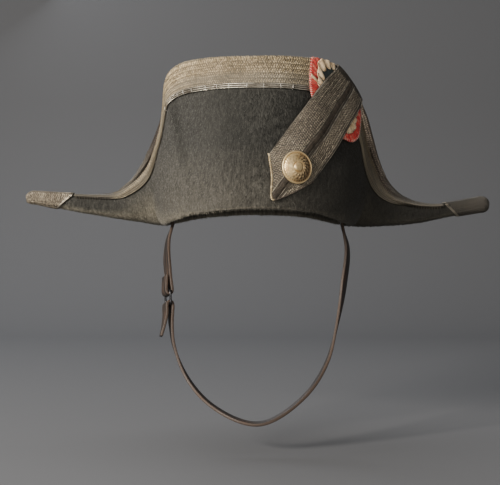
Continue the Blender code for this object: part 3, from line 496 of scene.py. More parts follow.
# Unevenness of the loop's folded lower edge, and its mitre: how far up it reaches at the middle,
# as shares of the loop, and how much higher the upper layer lies
LOOP_BOW = 0.02
LOOP_WAVE = 0.006
LOOP_RAGGED = 0.2
LOOP_MITRE = 0.2
LOOP_STEP = 0.2 * MM
LOOP_PASSES = 12

# Loop: its weave, the share that its threads keep to, the ribs of its strip, the fold over the
# flap's edge, how far its ends rise there, and its rows behind the edge
LOOP_SEED = 11
LOOP_PITCH = 2.1 * MM
LOOP_ROW = 1.9 * MM
LOOP_LONG = 2.4 * MM
LOOP_LEAN = 62
LOOP_TURNED = 14
LOOP_HIGH = 0.42 * MM
LOOP_JITTER = (0.2 * MM, 8)
LOOP_SIDES = 0.93
STRIP_MARGIN = 0.03
SWAY_FADE = 0.5
RIB_PITCH = 1.05 * MM
RIB_START = 1.5 * MM
RIB_RADIUS = 0.34 * MM
RIB_POINTS = 4
RIB_LIFT = 0.05 * MM
LOOP_WIRE_STEPS = 140
FOLD_ANGLES = (20, 160, 6)
FOLD_RISES = (0.3, 0.1)
FOLD_DOWN = (0.2, 1, 4)

# Cord of two strands along the loop's point: turns, radius of its path and of a strand
CORD_TURNS = 22
CORD_STEPS = 6
CORD_AHEAD = 0.01
CORD_LAY = 0.4 * MM
CORD_SUNK = 0.1 * MM
CORD_RADIUS = 0.46 * MM

# Button from its back to its boss: shares of BUTTON_RADIUS and BUTTON_HEIGHT
BUTTON_PROFILE = [
    # way, radius, high
    (0.00, 0.90, 0.00),
    (0.06, 0.985, 0.06),
    (0.12, 1.00, 0.18),
    (0.17, 0.985, 0.30),
    (0.22, 0.93, 0.36),
    (0.27, 0.885, 0.27),
    (0.32, 0.85, 0.30),
    (0.42, 0.76, 0.50),
    (0.52, 0.64, 0.66),
    (0.62, 0.50, 0.77),
    (0.70, 0.40, 0.83),
    (0.75, 0.345, 0.845),
    (0.79, 0.31, 0.79),
    (0.83, 0.285, 0.83),
    (0.88, 0.262, 0.93),
    (0.94, 0.19, 0.985),
    (1.00, 0.03, 1.00),
]
BUTTON_RINGS = 96

# Leaves of the wreath and beads: height and number, middle and half width of the wreath's rows
# and of the beads, the leaves' slant and shape, the patina between them, and the side where all
# are crisp, how far that reaches and how much is left opposite; the brass's painted shade
# browns it on the same side
LEAF_RELIEF = 0.42 * MM
BEAD_RELIEF = 0.28 * MM
LEAVES_ROUND = 17
WREATH = ((0.49, 0.085), (0.665, 0.085))
BEADS = (0.82, 0.045)
LEAF_SLANT = 3
LEAF_POWER = 0.8
PATINA_RAMP = 3
BEAD_PATINA = 0.8
WORN_AND_SHADE_TURN = -0.3
WORN_START = 0.6
WORN_LEAST = 0.2

# Where the plush is paler from rubbing towards the head, on the way down; where it turns to face
# down as it rolls under, paler partly from pale fuzz and partly as painted light from below; and
# where a painted shade makes it black, on the way to +X
RUBBED_HEIGHTS = (-60 * MM, 0)
ROLL_LIGHT_AND_FUZZ_TURNS = (-0.22, -0.62)
HORN_STARTS = (72 * MM, 100 * MM)
HORN_FUZZ = 0.1
ROLL_FUZZ_AND_LIGHT = 0.6
SHADED_NAP = (30 * MM, 85 * MM)

# Nap of the plush: fibres of full and of short length, how many, how they lie and bend, and
# between which distances a piece over them leaves them out
NAP_LENGTH = 3.2 * MM
NAP_RADIUS = 0.085 * MM
NAP_COUNTS = {"front": 46000, "rear": 36000, "inside": 13000, "crown": 12000}
NAP_SHORT = 2.2 * MM
NAP_LENGTHS = (0.55, 1.25)
NAP_LIFTS = (6, 24)
NAP_THICKNESS = (0.7, 1.4)
NAP_SWIRL = 0.22
NAP_WAVES = ((61, 47, 0.0), (143, -96, 1.3))
NAP_BEND = 0.55
NAP_STEEP = (1.3, 0.8)
NAP_SEEDS = {"front": 31, "rear": 32, "crown": 51}
INSIDE_SEED = 10
NAP_SPREAD = 0.22
NAP_ROOT = 0.2 * MM
NAP_COVER = (0.5 * MM, 9 * MM)
CROWN_MIDDLE = (0, 0, 0.02)

# Short names of the shader's inputs
SOCKETS = {
    "base_color": "Base Color",
    "roughness": "Roughness",
    "normal": "Normal",
    "sheen_weight": "Sheen Weight",
    "sheen_roughness": "Sheen Roughness",
    "sheen_tint": "Sheen Tint",
    "specular": "Specular IOR Level",
}

# Painted shade on the metal threads, darker towards one side: direction, from where to where,
# and how much
SHADES = {
    # name: (direction, low, high, most)
    "right": ((1, 0, 0), 0.04, 0.10, 0.7),
    "left": ((-1, 0, 0), -0.02, 0.06, 0.85),
    "up": ((1, 0, 0), 0.06, 0.085, 0.5),
    "far": ((1, 0, 0), 0.04, 0.10, 0.85),
}

# Colours of the braids, of the wires and of the ribbons and threads. Some have ends of their own.
BRAIDS = {
    # name: (dark, plain, bright, metallic, shade, ends)
    "base": ((0.045, 0.036, 0.024), (0.15, 0.12, 0.08), (0.29, 0.24, 0.165), 0.3, "right", True),
    "thread": ((0.10, 0.075, 0.042), (0.42, 0.33, 0.19), (0.78, 0.635, 0.405), 0.5, "right", True),
    # The rear braid is a darker copy of the front one: a painted shade on the rear flap's inner
    # face
    "rear_base": ((0.03, 0.022, 0.016), (0.08, 0.062, 0.046), (0.16, 0.13, 0.1), 0.3, "left", True),
    "rear_thread": ((0.05, 0.038, 0.029), (0.32, 0.26, 0.2), (0.6, 0.52, 0.42), 0.5, "left", True),
    "sleeve_base": ((0.02, 0.019, 0.017), (0.10, 0.082, 0.06), (0.22, 0.185, 0.14), 0.3, "far"),
    "sleeve_thread": ((0.065, 0.062, 0.056), (0.32, 0.27, 0.20), (0.70, 0.62, 0.48), 0.5, "far"),
    "loop": ((0.035, 0.029, 0.023), (0.09, 0.076, 0.058), (0.19, 0.16, 0.12), 0.3, "up"),
    "loop_thread": ((0.12, 0.10, 0.075), (0.38, 0.325, 0.24), (0.72, 0.64, 0.49), 0.5, "up"),
    "strip": ((0.028, 0.021, 0.016), (0.075, 0.058, 0.043), (0.15, 0.12, 0.09), 0.2),
    "loop_cord": ((0.12, 0.09, 0.055), (0.56, 0.44, 0.26), (0.92, 0.78, 0.52), 0.5),
}
WIRES = {
    # name: (dark, bright, ends)
    "wire": ((0.20, 0.175, 0.135), (0.85, 0.79, 0.66), True),
    # A darker copy of the wire: a painted shade on the rear flap's inner face
    "rear_wire": ((0.14, 0.12, 0.095), (0.5, 0.45, 0.36), True),
    "loop_wire": ((0.12, 0.104, 0.08), (0.62, 0.56, 0.45)),
}
CLOTHS = {
    # name: (dark, plain, pale)
    "stitch": ((0.45, 0.42, 0.36), (0.66, 0.62, 0.54), (0.82, 0.79, 0.72)),
    "red": ((0.34, 0.012, 0.012), (0.62, 0.035, 0.026), (0.74, 0.30, 0.20)),
    "cream": ((0.38, 0.25, 0.13), (0.66, 0.49, 0.29), (0.80, 0.66, 0.46)),
    "dark": ((0.008, 0.014, 0.014), (0.016, 0.028, 0.028), (0.04, 0.055, 0.052)),
    "gather": ((0.55, 0.25, 0.2), (0.68, 0.42, 0.34), (0.78, 0.6, 0.5)),
}


def interpolate(table, where):
    """Smooth values of a table's later columns at each value of its first column."""
    rows = np.array(table, float)
    knots, values = rows[:, 0], rows[:, 1:]
    steps = np.diff(knots)[:, None]
    slopes = np.diff(values, axis=0) / steps
    tangents = np.vstack(
        [
            slopes[:1],
            (slopes[:-1] * steps[1:] + slopes[1:] * steps[:-1]) / (steps[:-1] + steps[1:]),
            slopes[-1:],
        ]
    )
    where = np.atleast_1d(np.asarray(where, float))
    low = np.clip(np.searchsorted(knots, where, side="right") - 1, 0, len(knots) - 2)
    width = steps[low]
    t = (where[:, None] - knots[low][:, None]) / width
    return (
        (2 * t**3 - 3 * t**2 + 1) * values[low]
        + (t**3 - 2 * t**2 + t) * width * tangents[low]
        + (3 * t**2 - 2 * t**3) * values[low + 1]
        + (t**3 - t**2) * width * tangents[low + 1]
    )


def unit(vectors):
    """Vectors along the last axis, each made one long."""
    return vectors / np.linalg.norm(vectors, axis=-1, keepdims=True)


def ways_along(points):
    """Distance of each point from the first, along the line through them."""
    return np.concatenate([[0], np.linalg.norm(np.diff(points, axis=0), axis=1).cumsum()])


def compass(degrees, side):
    """Level unit vectors: 0 at -X, 90 away from the keel towards the flap's side."""
    angle = np.radians(degrees)
    return np.stack([-np.cos(angle), side * np.sin(angle), np.zeros_like(angle)], axis=-1)


def seats(stations, side):
    """Points of the keel and of the head hole's edge."""
    stations = np.atleast_1d(np.asarray(stations, float))
    around = np.radians(180 * np.clip(stations, 0, 1))
    along = HORN_REACH * (np.minimum(stations, 0) + np.maximum(stations - 1, 0))
    high = FLAP_HEIGHT * interpolate(SEAT_HEIGHTS, stations)[:, 0]
    return np.stack(
        [along - HOLE_X * np.cos(around), side * HOLE_Y * np.sin(around), high], axis=-1
    )


def edges(table, side, stations):
    """Points of a flap's free edge."""
    wide, reach, deep, high = interpolate(table, stations)[:, 2:6].T
    return np.stack(
        [wide * HOLE_X + reach * HORN_REACH, side * deep * HOLE_Y, high * FLAP_HEIGHT],
        axis=-1,
    )


def roll_ends(table, side, stations):
    """Ends of the level starts, evened out where the seat turns from a horn to the head hole."""
    total = 0
    for share, weight in ROLL_WEIGHTS:
        near = np.clip(stations + share * ROLL_SPREAD, -1, 2)
        out, roll = interpolate(table, near)[:, 0:2].T
        ends = seats(near, side) + ROLL * roll[:, None] * compass(out, side)
        total = total + weight * ends
    return total / sum(weight for _, weight in ROLL_WEIGHTS)


def sections(table, side, stations):
    """The four control points of each section, from its level start to its free edge."""
    stations = np.atleast_1d(np.asarray(stations, float))
    face, tilt, rise = interpolate(table, stations)[:, 6:9].T
    run = unit(
        edges(table, side, np.minimum(stations + EDGE_WINDOW, 2))
        - edges(table, side, np.maximum(stations - EDGE_WINDOW, -1))
    )
    tilt = np.radians(tilt)[:, None]
    outer = np.cos(tilt) * compass(face, side) + np.sin(tilt) * np.array([0, 0, 1.0])
    outer = unit(outer - np.sum(outer * run, axis=1, keepdims=True) * run)
    inwards = unit(np.cross(outer, run)) * side
    edge = edges(table, side, stations)
    out = interpolate(table, stations)[:, 0]
    return np.stack(
        [
            seats(stations, side) + LEVEL * compass(out, side),
            roll_ends(table, side, stations),
            edge + FLAP_HEIGHT * rise[:, None] * inwards,
            edge,
        ],
        axis=1,
    )


def section_curves(controls):
    """Points of each section from its free edge to its seat, and their distances."""
    share = np.linspace(1, 0, SECTION_SAMPLES)[None, :, None]
    a, b, c, d = (controls[:, None, k] for k in range(4))
    curve = (
        (1 - share) ** 3 * a
        + 3 * share * (1 - share) ** 2 * b
        + 3 * share**2 * (1 - share) * c
        + share**3 * d
    )
    length = np.linalg.norm(np.diff(curve, axis=1), axis=2).cumsum(axis=1)
    return curve, np.hstack([np.zeros((len(curve), 1)), length])


def stations_of(table, side):
    """Stations of the grid: the same on both horns, and evenly spread along the head hole."""
    horn = np.linspace(0, 1, HORN_STEPS + 1)
    fine = np.linspace(0, 1, SAMPLES)
    seat_way = np.linalg.norm(np.diff(seats(fine, side), axis=0), axis=1)
    edge_way = np.linalg.norm(np.diff(edges(table, side, fine), axis=0), axis=1)
    way = np.concatenate([[0], np.cumsum(seat_way + edge_way)])
    head = np.interp(np.linspace(0, way[-1], HEAD_STEPS + 1), way, fine)
    return np.concatenate([-1 + horn[:-1], head, 1 + horn[1:]])


def felt_grid(table, side):
    """Stations, and the outer face's points from seat to edge for each."""
    stations = stations_of(table, side)
    curve, ways = section_curves(sections(table, side, stations))
    length = ways[:, -1]
    leaf = GALLOON_WIDTH * interpolate(LEAVES, stations)[:, 0]
    band = np.maximum(leaf, np.minimum(GALLOON_TURN, BAND_SHARE * length))
    columns = []
    for k in range(LOWER_STEPS):
        share = (k / LOWER_STEPS) ** LOWER_CROWDING
        columns.append(length - (length - band) * share)
    columns += [band * (1 - k / BAND_STEPS) for k in range(BAND_STEPS + 1)]
    distances = np.stack(columns, axis=1)
    points = np.array(
        [
            np.stack([np.interp(row, way, line[:, axis]) for axis in range(3)], axis=1)
            for row, way, line in zip(distances, ways, curve, strict=True)
        ]
    )
    return stations, np.concatenate([seats(stations, side)[:, None], points], axis=1)


def grid_faces(rows, columns, closed=False):
    """Quads of a grid whose points are listed row by row, its columns closed if asked."""
    last = columns if closed else columns - 1
    return [
        (
            r * columns + c,
            r * columns + (c + 1) % columns,
            (r + 1) * columns + (c + 1) % columns,
            (r + 1) * columns + c,
        )
        for r in range(rows - 1)
        for c in range(last)
    ]


def domed_faces(rows, columns):
    """Faces of a closed grid, and of the fan from its last row to one more point."""
    first = (rows - 1) * columns
    fan = [(first + k, first + (k + 1) % columns, rows * columns) for k in range(columns)]
    return grid_faces(rows, columns, closed=True) + fan


def new_mesh(name, points, faces, towards=None):
    """A smooth mesh. Its faces look at a point where they are nearest to it, if one is given."""
    mesh = bpy.data.meshes.new(name)
    mesh.from_pydata(np.asarray(points).tolist(), [], [list(map(int, f)) for f in faces])
    if towards is not None:
        towards = Vector(towards)
        nearest = min(mesh.polygons, key=lambda face: (face.center - towards).length)
        if nearest.normal.dot(towards - nearest.center) < 0:
            mesh.flip_normals()
    mesh.shade_smooth()
    mesh.set_sharp_from_angle(angle=math.radians(SHARP_ANGLE))
    return mesh


def new_piece(name, mesh, finish, slot, *nodes):
    """A piece that rides on the hat, takes its finish and stands for CAD nodes."""
    piece = bpy.data.objects.new(name, mesh)
    bpy.context.scene.collection.objects.link(piece)
    piece.data.materials.append(finish)
    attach(piece, "root")
    if nodes:
        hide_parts(*nodes)
    return piece


def shell(piece, thickness, offset, group=""):
    """Gives an open sheet its wall, as thick as a vertex group says if one is given."""
    wall = piece.modifiers.new("wall", "SOLIDIFY")
    wall.thickness = thickness
    wall.offset = offset
    wall.use_quality_normals = True
    wall.vertex_group = group
    mesh, old = evaluated_mesh(piece), piece.data
    piece.modifiers.clear()
    piece.data = mesh
    bpy.data.meshes.remove(old)


def evaluated_mesh(thing):
    """A new mesh of an object as its modifiers or its curve settings shape it."""
    bpy.context.view_layer.update()
    shown = thing.evaluated_get(bpy.context.evaluated_depsgraph_get())
    return bpy.data.meshes.new_from_object(shown)


def set_vectors(mesh, name, values):
    """Stores a vector for each point, which a material reads by its name."""
    layer = mesh.attributes.new(name, "FLOAT_VECTOR", "POINT")
    layer.data.foreach_set("vector", np.asarray(values, np.float32).ravel())


class Flap:
    """A flap as built: rows of points of its outer and inner face, one row a station."""

    def __init__(self, stations, outer, inner):
        self.stations, self.outer, self.inner = stations, outer, inner

    def row(self, station, grid):
        """One row of a grid, straight between its own rows."""
        after = int(np.clip(np.searchsorted(self.stations, station), 1, len(grid) - 1))
        sooner, later = self.stations[after - 1], self.stations[after]
        share = (station - sooner) / (later - sooner)
        return grid[after - 1] * (1 - share) + grid[after] * share

    def length(self, station):
        """Length of a row."""
        return ways_along(self.row(station, self.outer))[-1]

    def places(self, station, distances, off, inside=False):
        """Points off one face, at distances from the free edge down its row."""
        outer, inner = self.row(station, self.outer), self.row(station, self.inner)
        near, far = (inner, outer) if inside else (outer, inner)
        near, away = near[::-1], unit(near - far)[::-1]
        way = ways_along(near)
        spots = np.stack([np.interp(distances, way, near[:, k]) for k in range(3)], axis=-1)
        out = np.stack([np.interp(distances, way, away[:, k]) for k in range(3)], axis=-1)
        return spots + unit(out) * off

    def rise(self, station):
        """Direction in which a row leaves its free edge."""
        start, end = self.places(station, [RISE_STEP, 0], 0)
        return unit(end - start)

    def edge(self, station, off, up, inside=False):
        """A point beyond the free edge, in line with one of the faces."""
        return self.places(station, 0, off, inside) + self.rise(station) * up

    def edge_arc(self, station, outside, inside, up, steps):
        """Points over the free edge, from the outer face's side to the inner one's."""
        rise = self.rise(station)
        near = self.places(station, 0, outside)
        far = self.places(station, 0, inside, inside=True)
        middle, half = (near + far) / 2, (near - far) / 2
        angles = math.pi * (np.arange(steps) + 1) / (steps + 1)
        return np.array([middle + half * math.cos(a) + rise * up * math.sin(a) for a in angles])


class Surface:
    """A grid of points, found by the distance along its rows and the distance across them."""

    def __init__(self, grid, reference):
        self.grid = grid
        self.normals = unit(np.cross(np.gradient(grid, axis=0), np.gradient(grid, axis=1)))
        self.along = ways_along(grid[:, reference])
        steps = np.linalg.norm(np.diff(grid, axis=1), axis=2)
        self.across = np.hstack([np.zeros((len(grid), 1)), steps.cumsum(axis=1)])

    def widths(self, along):
        """Width of the surface at distances along it."""
        return np.interp(along, self.along, self.across[:, -1])

    def at(self, along, across, lift=0.0):
        """Points and normals at distances along and across."""
        along, across = np.broadcast_arrays(np.asarray(along, float), np.asarray(across, float))
        rows, columns = self.grid.shape[:2]
        r = np.interp(along, self.along, np.arange(rows))
        low = np.minimum(r.astype(int), rows - 2)
        share = (r - low)[..., None]
        points, normals = 0, 0
        for row, weight in ((low, 1 - share), (low + 1, share)):
            flat = [
                np.interp(a, self.across[k], np.arange(columns))
                for a, k in zip(across.ravel(), row.ravel(), strict=True)
            ]
            c = np.array(flat).reshape(row.shape)
            left = np.minimum(c.astype(int), columns - 2)
            part = (c - left)[..., None]
            for column, own in ((left, 1 - part), (left + 1, part)):
                points = points + weight * own * self.grid[row, column]
                normals = normals + weight * own * self.normals[row, column]
        normals = unit(normals)
        return points + normals * lift, normals


def new_parts(name, parts, finish, slot, layer=None, values=None):
    """A piece of many (points, faces) pairs, with a vector for each point if a layer is named."""
    points, faces, first = [], [], 0
    for part_points, part_faces in parts:
        points.append(np.asarray(part_points))
        faces += [[int(k) + first for k in face] for face in part_faces]
        first += len(part_points)
    points = np.vstack(points)
    mesh = bpy.data.meshes.new(name)
    mesh.from_pydata(points.tolist(), [], faces)
    mesh.shade_smooth()
    if layer:
        set_vectors(mesh, layer, points / MM if values is None else values)
    new_piece(name, mesh, finish, slot)


def tube(line, radius, sides=6):
    """Points and faces of a closed tube along a line of points."""
    line = np.asarray(line)
    run = unit(np.gradient(line, axis=0))
    side = unit(np.cross(run[0], TUBE_AWAY))
    angles = np.arange(sides) * 2 * math.pi / sides
    rings = []
    for place, way in zip(line, run, strict=True):
        side = unit(side - side.dot(way) * way)
        other = np.cross(way, side)
        rings.append(
            [place + radius * (math.cos(a) * side + math.sin(a) * other) for a in angles]
        )
    points = np.array(rings).reshape(-1, 3)
    faces = grid_faces(len(line), sides, closed=True)
    last = len(points) - sides
    faces += [tuple(range(sides))[::-1], tuple(last + k for k in range(sides))]
    return points, faces


def threads(surface, along, across, lean, long=THREAD_LONG, high=THREAD_HIGH):
    """Points and faces of small raised threads that lie on a surface, each on its own lean."""
    place, normal = surface.at(along, across)
    ahead, _ = surface.at(along + THREAD_AHEAD, across)
    run = ahead - place
    run = run - np.sum(run * normal, axis=1, keepdims=True) * normal
    run = unit(run + 1e-9)
    over = np.cross(normal, run)
    angle = np.radians(lean)[:, None]
    length = (run * np.cos(angle) + over * np.sin(angle)) * long / 2
    width = (over * np.cos(angle) - run * np.sin(angle)) * THREAD_WIDE / 2
    sunk, top = place - normal * THREAD_SUNK, place + normal * high
    ridge = length * THREAD_TOP
    corners = [sunk - length, sunk + width, sunk + length, sunk - width, top - ridge, top + ridge]
    base = THREAD_POINTS * np.arange(len(place))[:, None]
    pattern = [(0, 1, 4), (1, 5, 4), (1, 2, 5), (2, 3, 5), (3, 4, 5), (3, 0, 4)]
    faces = (base[:, :, None] + np.array(pattern)[None]).reshape(-1, 3)
    return np.stack(corners, axis=1).reshape(-1, 3), faces


def herringbone(start, stop, high, random):
    """Places and leans of a weave's threads, from start to stop along and up to high across."""
    along, across, lean = [], [], []
    count = int((stop - start) / THREAD_PITCH)
    for k in range(int(high / THREAD_ROW + 0.5)):
        along.append(start + (np.arange(count) + 0.5 * (k % 2)) * THREAD_PITCH)
        across.append(np.full(count, (k + 0.5) * THREAD_ROW))
        lean.append(np.full(count, THREAD_LEAN if k % 2 else 180 - THREAD_LEAN))
    values = zip((along, across, lean), WEAVE_JITTER, strict=True)
    return [
        np.concatenate(rows) + random.normal(0, most, count * len(rows)) for rows, most in values
    ]


class Finish:
    """A Principled material, and short calls that add its nodes."""

    def __init__(self, name, colour, roughness, metallic=0.0, **constants):
        self.material = bpy.data.materials.new(name)
        self.material.use_nodes = True
        self.tree = self.material.node_tree
        self.shader = self.tree.nodes["Principled BSDF"]
        self.shader.inputs["Base Color"].default_value = (*colour, 1)
        self.shader.inputs["Roughness"].default_value = roughness
        self.shader.inputs["Metallic"].default_value = metallic
        for key, value in constants.items():
            self.shader.inputs[SOCKETS[key]].default_value = value

    def node(self, kind, inputs=None, **settings):
        """Adds a node with its settings, and its inputs by name or number."""
        new = self.tree.nodes.new("ShaderNode" + kind)
        for key, value in settings.items():
            setattr(new, key, value)
        for socket, value in (inputs or {}).items():
            if isinstance(value, bpy.types.NodeSocket):
                self.tree.links.new(value, new.inputs[socket])
            else:
                new.inputs[socket].default_value = value
        return new

    def math(self, operation, a, b=0.0):
        return self.node("Math", {0: a, 1: b}, operation=operation).outputs[0]

    def place(self):
        """The piece's own coordinates."""
        return self.node("TexCoord").outputs["Object"]

    def scaled(self, vector, scale):
        """A vector scaled by one number, or by one for each axis."""
        scale = scale if isinstance(scale, tuple) else (scale,) * 3
        return self.node("Mapping", {"Vector": vector, "Scale": scale}).outputs[0]

    def layer(self, name):
        """A vector stored on the mesh."""
        return self.node("Attribute", attribute_name=name).outputs["Vector"]

    def parts(self, vector):
        """The three values of a vector."""
        return self.node("SeparateXYZ", {0: vector}).outputs

    def gradient(self, direction, low, high, most=1.0):
        """From 0 to most along a direction in the piece's own coordinates."""
        inputs = {0: self.place(), 1: direction}
        way = self.node("VectorMath", inputs, operation="DOT_PRODUCT")
        return self.span(way.outputs["Value"], low, high, 0.0, most)

    def sideways(self, low, high, most=1.0):
        """From 0 to most on the way out from the middle to either side."""
        across = self.math("ABSOLUTE", self.parts(self.place())[0])
        return self.span(across, low, high, 0.0, most)

    def rubbed_and_shaded(self, colour, up, dark, fuzz, roll):
        """Plush paler from rubbing low down and on the horns, and palest where it faces down as it
        rolls under, partly pale fuzz and partly painted light from below, away from the painted
        shade that darkens it towards +X.
        """
        between = self.math("SUBTRACT", 1.0, self.sideways(*HORN_STARTS))
        low = self.math("MULTIPLY", self.gradient((0, 0, -1), *RUBBED_HEIGHTS, 0.65), between)
        # Painted shade: the plush darker towards +X, away from the light
        side_share = self.gradient((1, 0, 0), *SHADED_NAP, 0.8)
        colour = self.mix(low, colour, fuzz)
        colour = self.mix(side_share, colour, dark)
        colour = self.mix(self.sideways(*HORN_STARTS, HORN_FUZZ), colour, fuzz)
        # Partly painted light: paler where the plush faces down, only outside the painted shade
        rolled = self.math("MULTIPLY", self.span(up, *ROLL_LIGHT_AND_FUZZ_TURNS), ROLL_FUZZ_AND_LIGHT)
        unshaded = self.math("SUBTRACT", 1.0, side_share)
        return self.mix(self.math("MULTIPLY", rolled, unshaded), colour, roll)

    def noise(self, scale, detail, roughness=0.6, layer=None):
        """Noise over the piece's own coordinates, or over a vector stored on the mesh."""
        vector = self.scaled(self.layer(layer) if layer else self.place(), scale)
        inputs = {"Vector": vector, "Scale": 1.0, "Detail": detail, "Roughness": roughness}
        return self.node("TexNoise", inputs).outputs[0]

    def ramp(self, factor, places, *colours):
        """A colour ramp through colours at places between 0 and 1."""
        new = self.node("ValToRGB", {0: factor})
        ramp = new.color_ramp
        while len(ramp.elements) < len(colours):
            ramp.elements.new(0.5)
        for element, place, colour in zip(ramp.elements, places, colours, strict=True):
            element.position = place
            element.color = (*colour, 1)
        return new.outputs[0]

    def span(self, factor, low, high, start=0.0, stop=1.0):
        """A factor's range from low to high, carried over to start to stop."""
        inputs = {0: factor, 1: low, 2: high, 3: start, 4: stop}
        return self.node("MapRange", inputs).outputs[0]

    def mix(self, factor, a, b, blend="MIX"):
        """A mix of two colours."""
        new = self.node("Mix", {0: factor}, data_type="RGBA", blend_type=blend)
        for socket, value in ((6, a), (7, b)):
            if isinstance(value, bpy.types.NodeSocket):
                self.tree.links.new(value, new.inputs[socket])
            else:
                new.inputs[socket].default_value = (*value, 1)
        return new.outputs[2]

    def bump(self, height, distance):
        inputs = {"Height": height, "Distance": distance, "Strength": 1.0}
        return self.node("Bump", inputs).outputs[0]

    def link(self, **sockets):
        """Links the shader's inputs and returns the material."""
        for key, value in sockets.items():
            self.tree.links.new(value, self.shader.inputs[SOCKETS[key]])
        return self.material


def felt_finish():
    """Black plush: brushed streaks that run up and down, paler below from rubbing and in patches,
    paler where it faces down, partly as painted light, and a painted shade towards +X.
    """
    tint = (0.80, 0.72, 0.58, 1)
    sheen = {"sheen_weight": 0.12, "sheen_roughness": 0.5, "sheen_tint": tint}
    finish = Finish("plush felt", (0.02, 0.02, 0.018), 0.92, specular=0.12, **sheen)
    streaks = finish.noise((460, 460, 150), 4)
    tufts = finish.noise((900, 900, 260), 3)
    patches = finish.noise(16, 3, 0.5)
    dark, plain, pale = (0.016, 0.016, 0.0145), (0.036, 0.0355, 0.032), (0.078, 0.076, 0.066)
    colour = finish.ramp(streaks, (0.3, 0.52, 0.74), dark, plain, pale)
    colour = finish.mix(0.3, colour, finish.ramp(patches, (0.35, 0.62), dark, pale))
    fuzz = finish.ramp(streaks, (0.3, 0.7), (0.055, 0.05, 0.041), (0.17, 0.156, 0.126))
    roll = finish.ramp(streaks, (0.3, 0.7), (0.12, 0.108, 0.082), (0.34, 0.31, 0.235))
    up = finish.parts(finish.node("NewGeometry").outputs["Normal"])[2]
    colour = finish.rubbed_and_shaded(colour, up, dark, fuzz, roll)
    height = finish.math("ADD", finish.math("MULTIPLY", streaks, 0.7), tufts)
    roughness = finish.span(tufts, 0.3, 0.7, 0.85, 1.0)
    normal = finish.bump(height, 0.7 * MM)
    return finish.link(base_color=colour, roughness=roughness, normal=normal)


def nap_finish():
    """Single fibres of the plush, paler below from rubbing, paler where they face down, partly
    as painted light, and darker towards +X as a painted shade.
    """
    finish = Finish("plush fibres", (0.04, 0.038, 0.033), 0.6, sheen_weight=0.1, specular=0.25)
    spread = finish.noise(700, 2, 0.5)
    dark, plain, pale = (0.02, 0.0195, 0.0175), (0.05, 0.0485, 0.043), (0.115, 0.112, 0.098)
    colour = finish.ramp(spread, (0.3, 0.52, 0.78), dark, plain, pale)
    fuzz = finish.ramp(spread, (0.3, 0.75), (0.065, 0.06, 0.05), (0.23, 0.212, 0.172))
    roll = finish.ramp(spread, (0.3, 0.75), (0.15, 0.135, 0.10), (0.46, 0.42, 0.32))
    up = finish.parts(finish.layer("felt"))[2]
    return finish.link(base_color=finish.rubbed_and_shaded(colour, up, dark, fuzz, roll))


def braid_finish(name, dark, plain, bright, metallic, shade=None, ends=False):
    """Tarnished metal thread: ribs along the braid, clouds, darker at its ends, and a painted shade
    that darkens one side and greys the lower part.
    """
    finish = Finish(name, plain, 0.5, metallic)
    braid = finish.layer("braid")
    ribs = finish.node(
        "TexWave",
        {"Vector": braid, "Scale": 0.55, "Distortion": 1.2, "Detail": 2.0, "Detail Scale": 1.5},
        wave_type="BANDS",
        bands_direction="X",
    ).outputs["Fac"]
    grain = finish.noise(1500, 3)
    clouds = finish.noise(60, 4)
    sparkle = finish.noise(430, 2)
    colour = finish.ramp(clouds, (0.0, 0.5, 1.0), dark, plain, bright)
    colour = finish.mix(finish.span(sparkle, 0.5, 0.7, 0.0, 0.7), colour, bright)
    colour = finish.mix(finish.span(sparkle, 0.3, 0.48, 0.5, 0.0), colour, dark)
    # Painted shade: darker towards one side
    if shade:
        colour = finish.mix(finish.gradient(*SHADES[shade]), colour, dark)
    if ends:
        colour = finish.mix(finish.sideways(*DARK_ENDS), colour, dark)
        across = finish.parts(braid)[1]
        # Painted shade: the lower part of the braid greyer
        colour = finish.mix(finish.span(across, *LOWER_SHADE_BAND, 0.5, 0.0), colour, LOWER_SHADE_METAL)
        border = finish.span(across, *BORDER_BAND, 0.8, 0.0)
        middle = finish.math("SUBTRACT", 1.0, finish.sideways(*PLAIN_ENDS))
        colour = finish.mix(finish.math("MULTIPLY", border, middle), colour, dark)
    roughness = finish.span(clouds, 0.3, 0.7, 0.6, 0.38)
    normal = finish.bump(finish.math("ADD", ribs, grain), 0.15 * MM)
    return finish.link(base_color=colour, roughness=roughness, normal=normal)


def wire_finish(name, dark, bright, ends=False):
    """Twisted metal wire, dull where it is tarnished and at its ends."""
    finish = Finish(name, bright, 0.32, 0.85)
    colour = finish.ramp(finish.noise(160, 3), (0.35, 0.62), dark, bright)
    if ends:
        colour = finish.mix(finish.sideways(*PLAIN_ENDS), colour, PLAIN_WIRE)
        colour = finish.mix(finish.sideways(*DARK_ENDS), colour, DARK_WIRE)
    normal = finish.bump(finish.noise(2200, 2, 0.5), 0.12 * MM)
    return finish.link(base_color=colour, normal=normal)


def ribbon_finish(name, dark, plain, pale):
    """Corded ribbon, a little faded in patches."""
    finish = Finish(name, plain, 0.62, sheen_weight=0.15)
    colour = finish.ramp(finish.noise(220, 4), (0.3, 0.5, 0.75), dark, plain, pale)
    normal = finish.bump(finish.noise(1600, 2, 0.5), 0.15 * MM)
    return finish.link(base_color=colour, normal=normal)


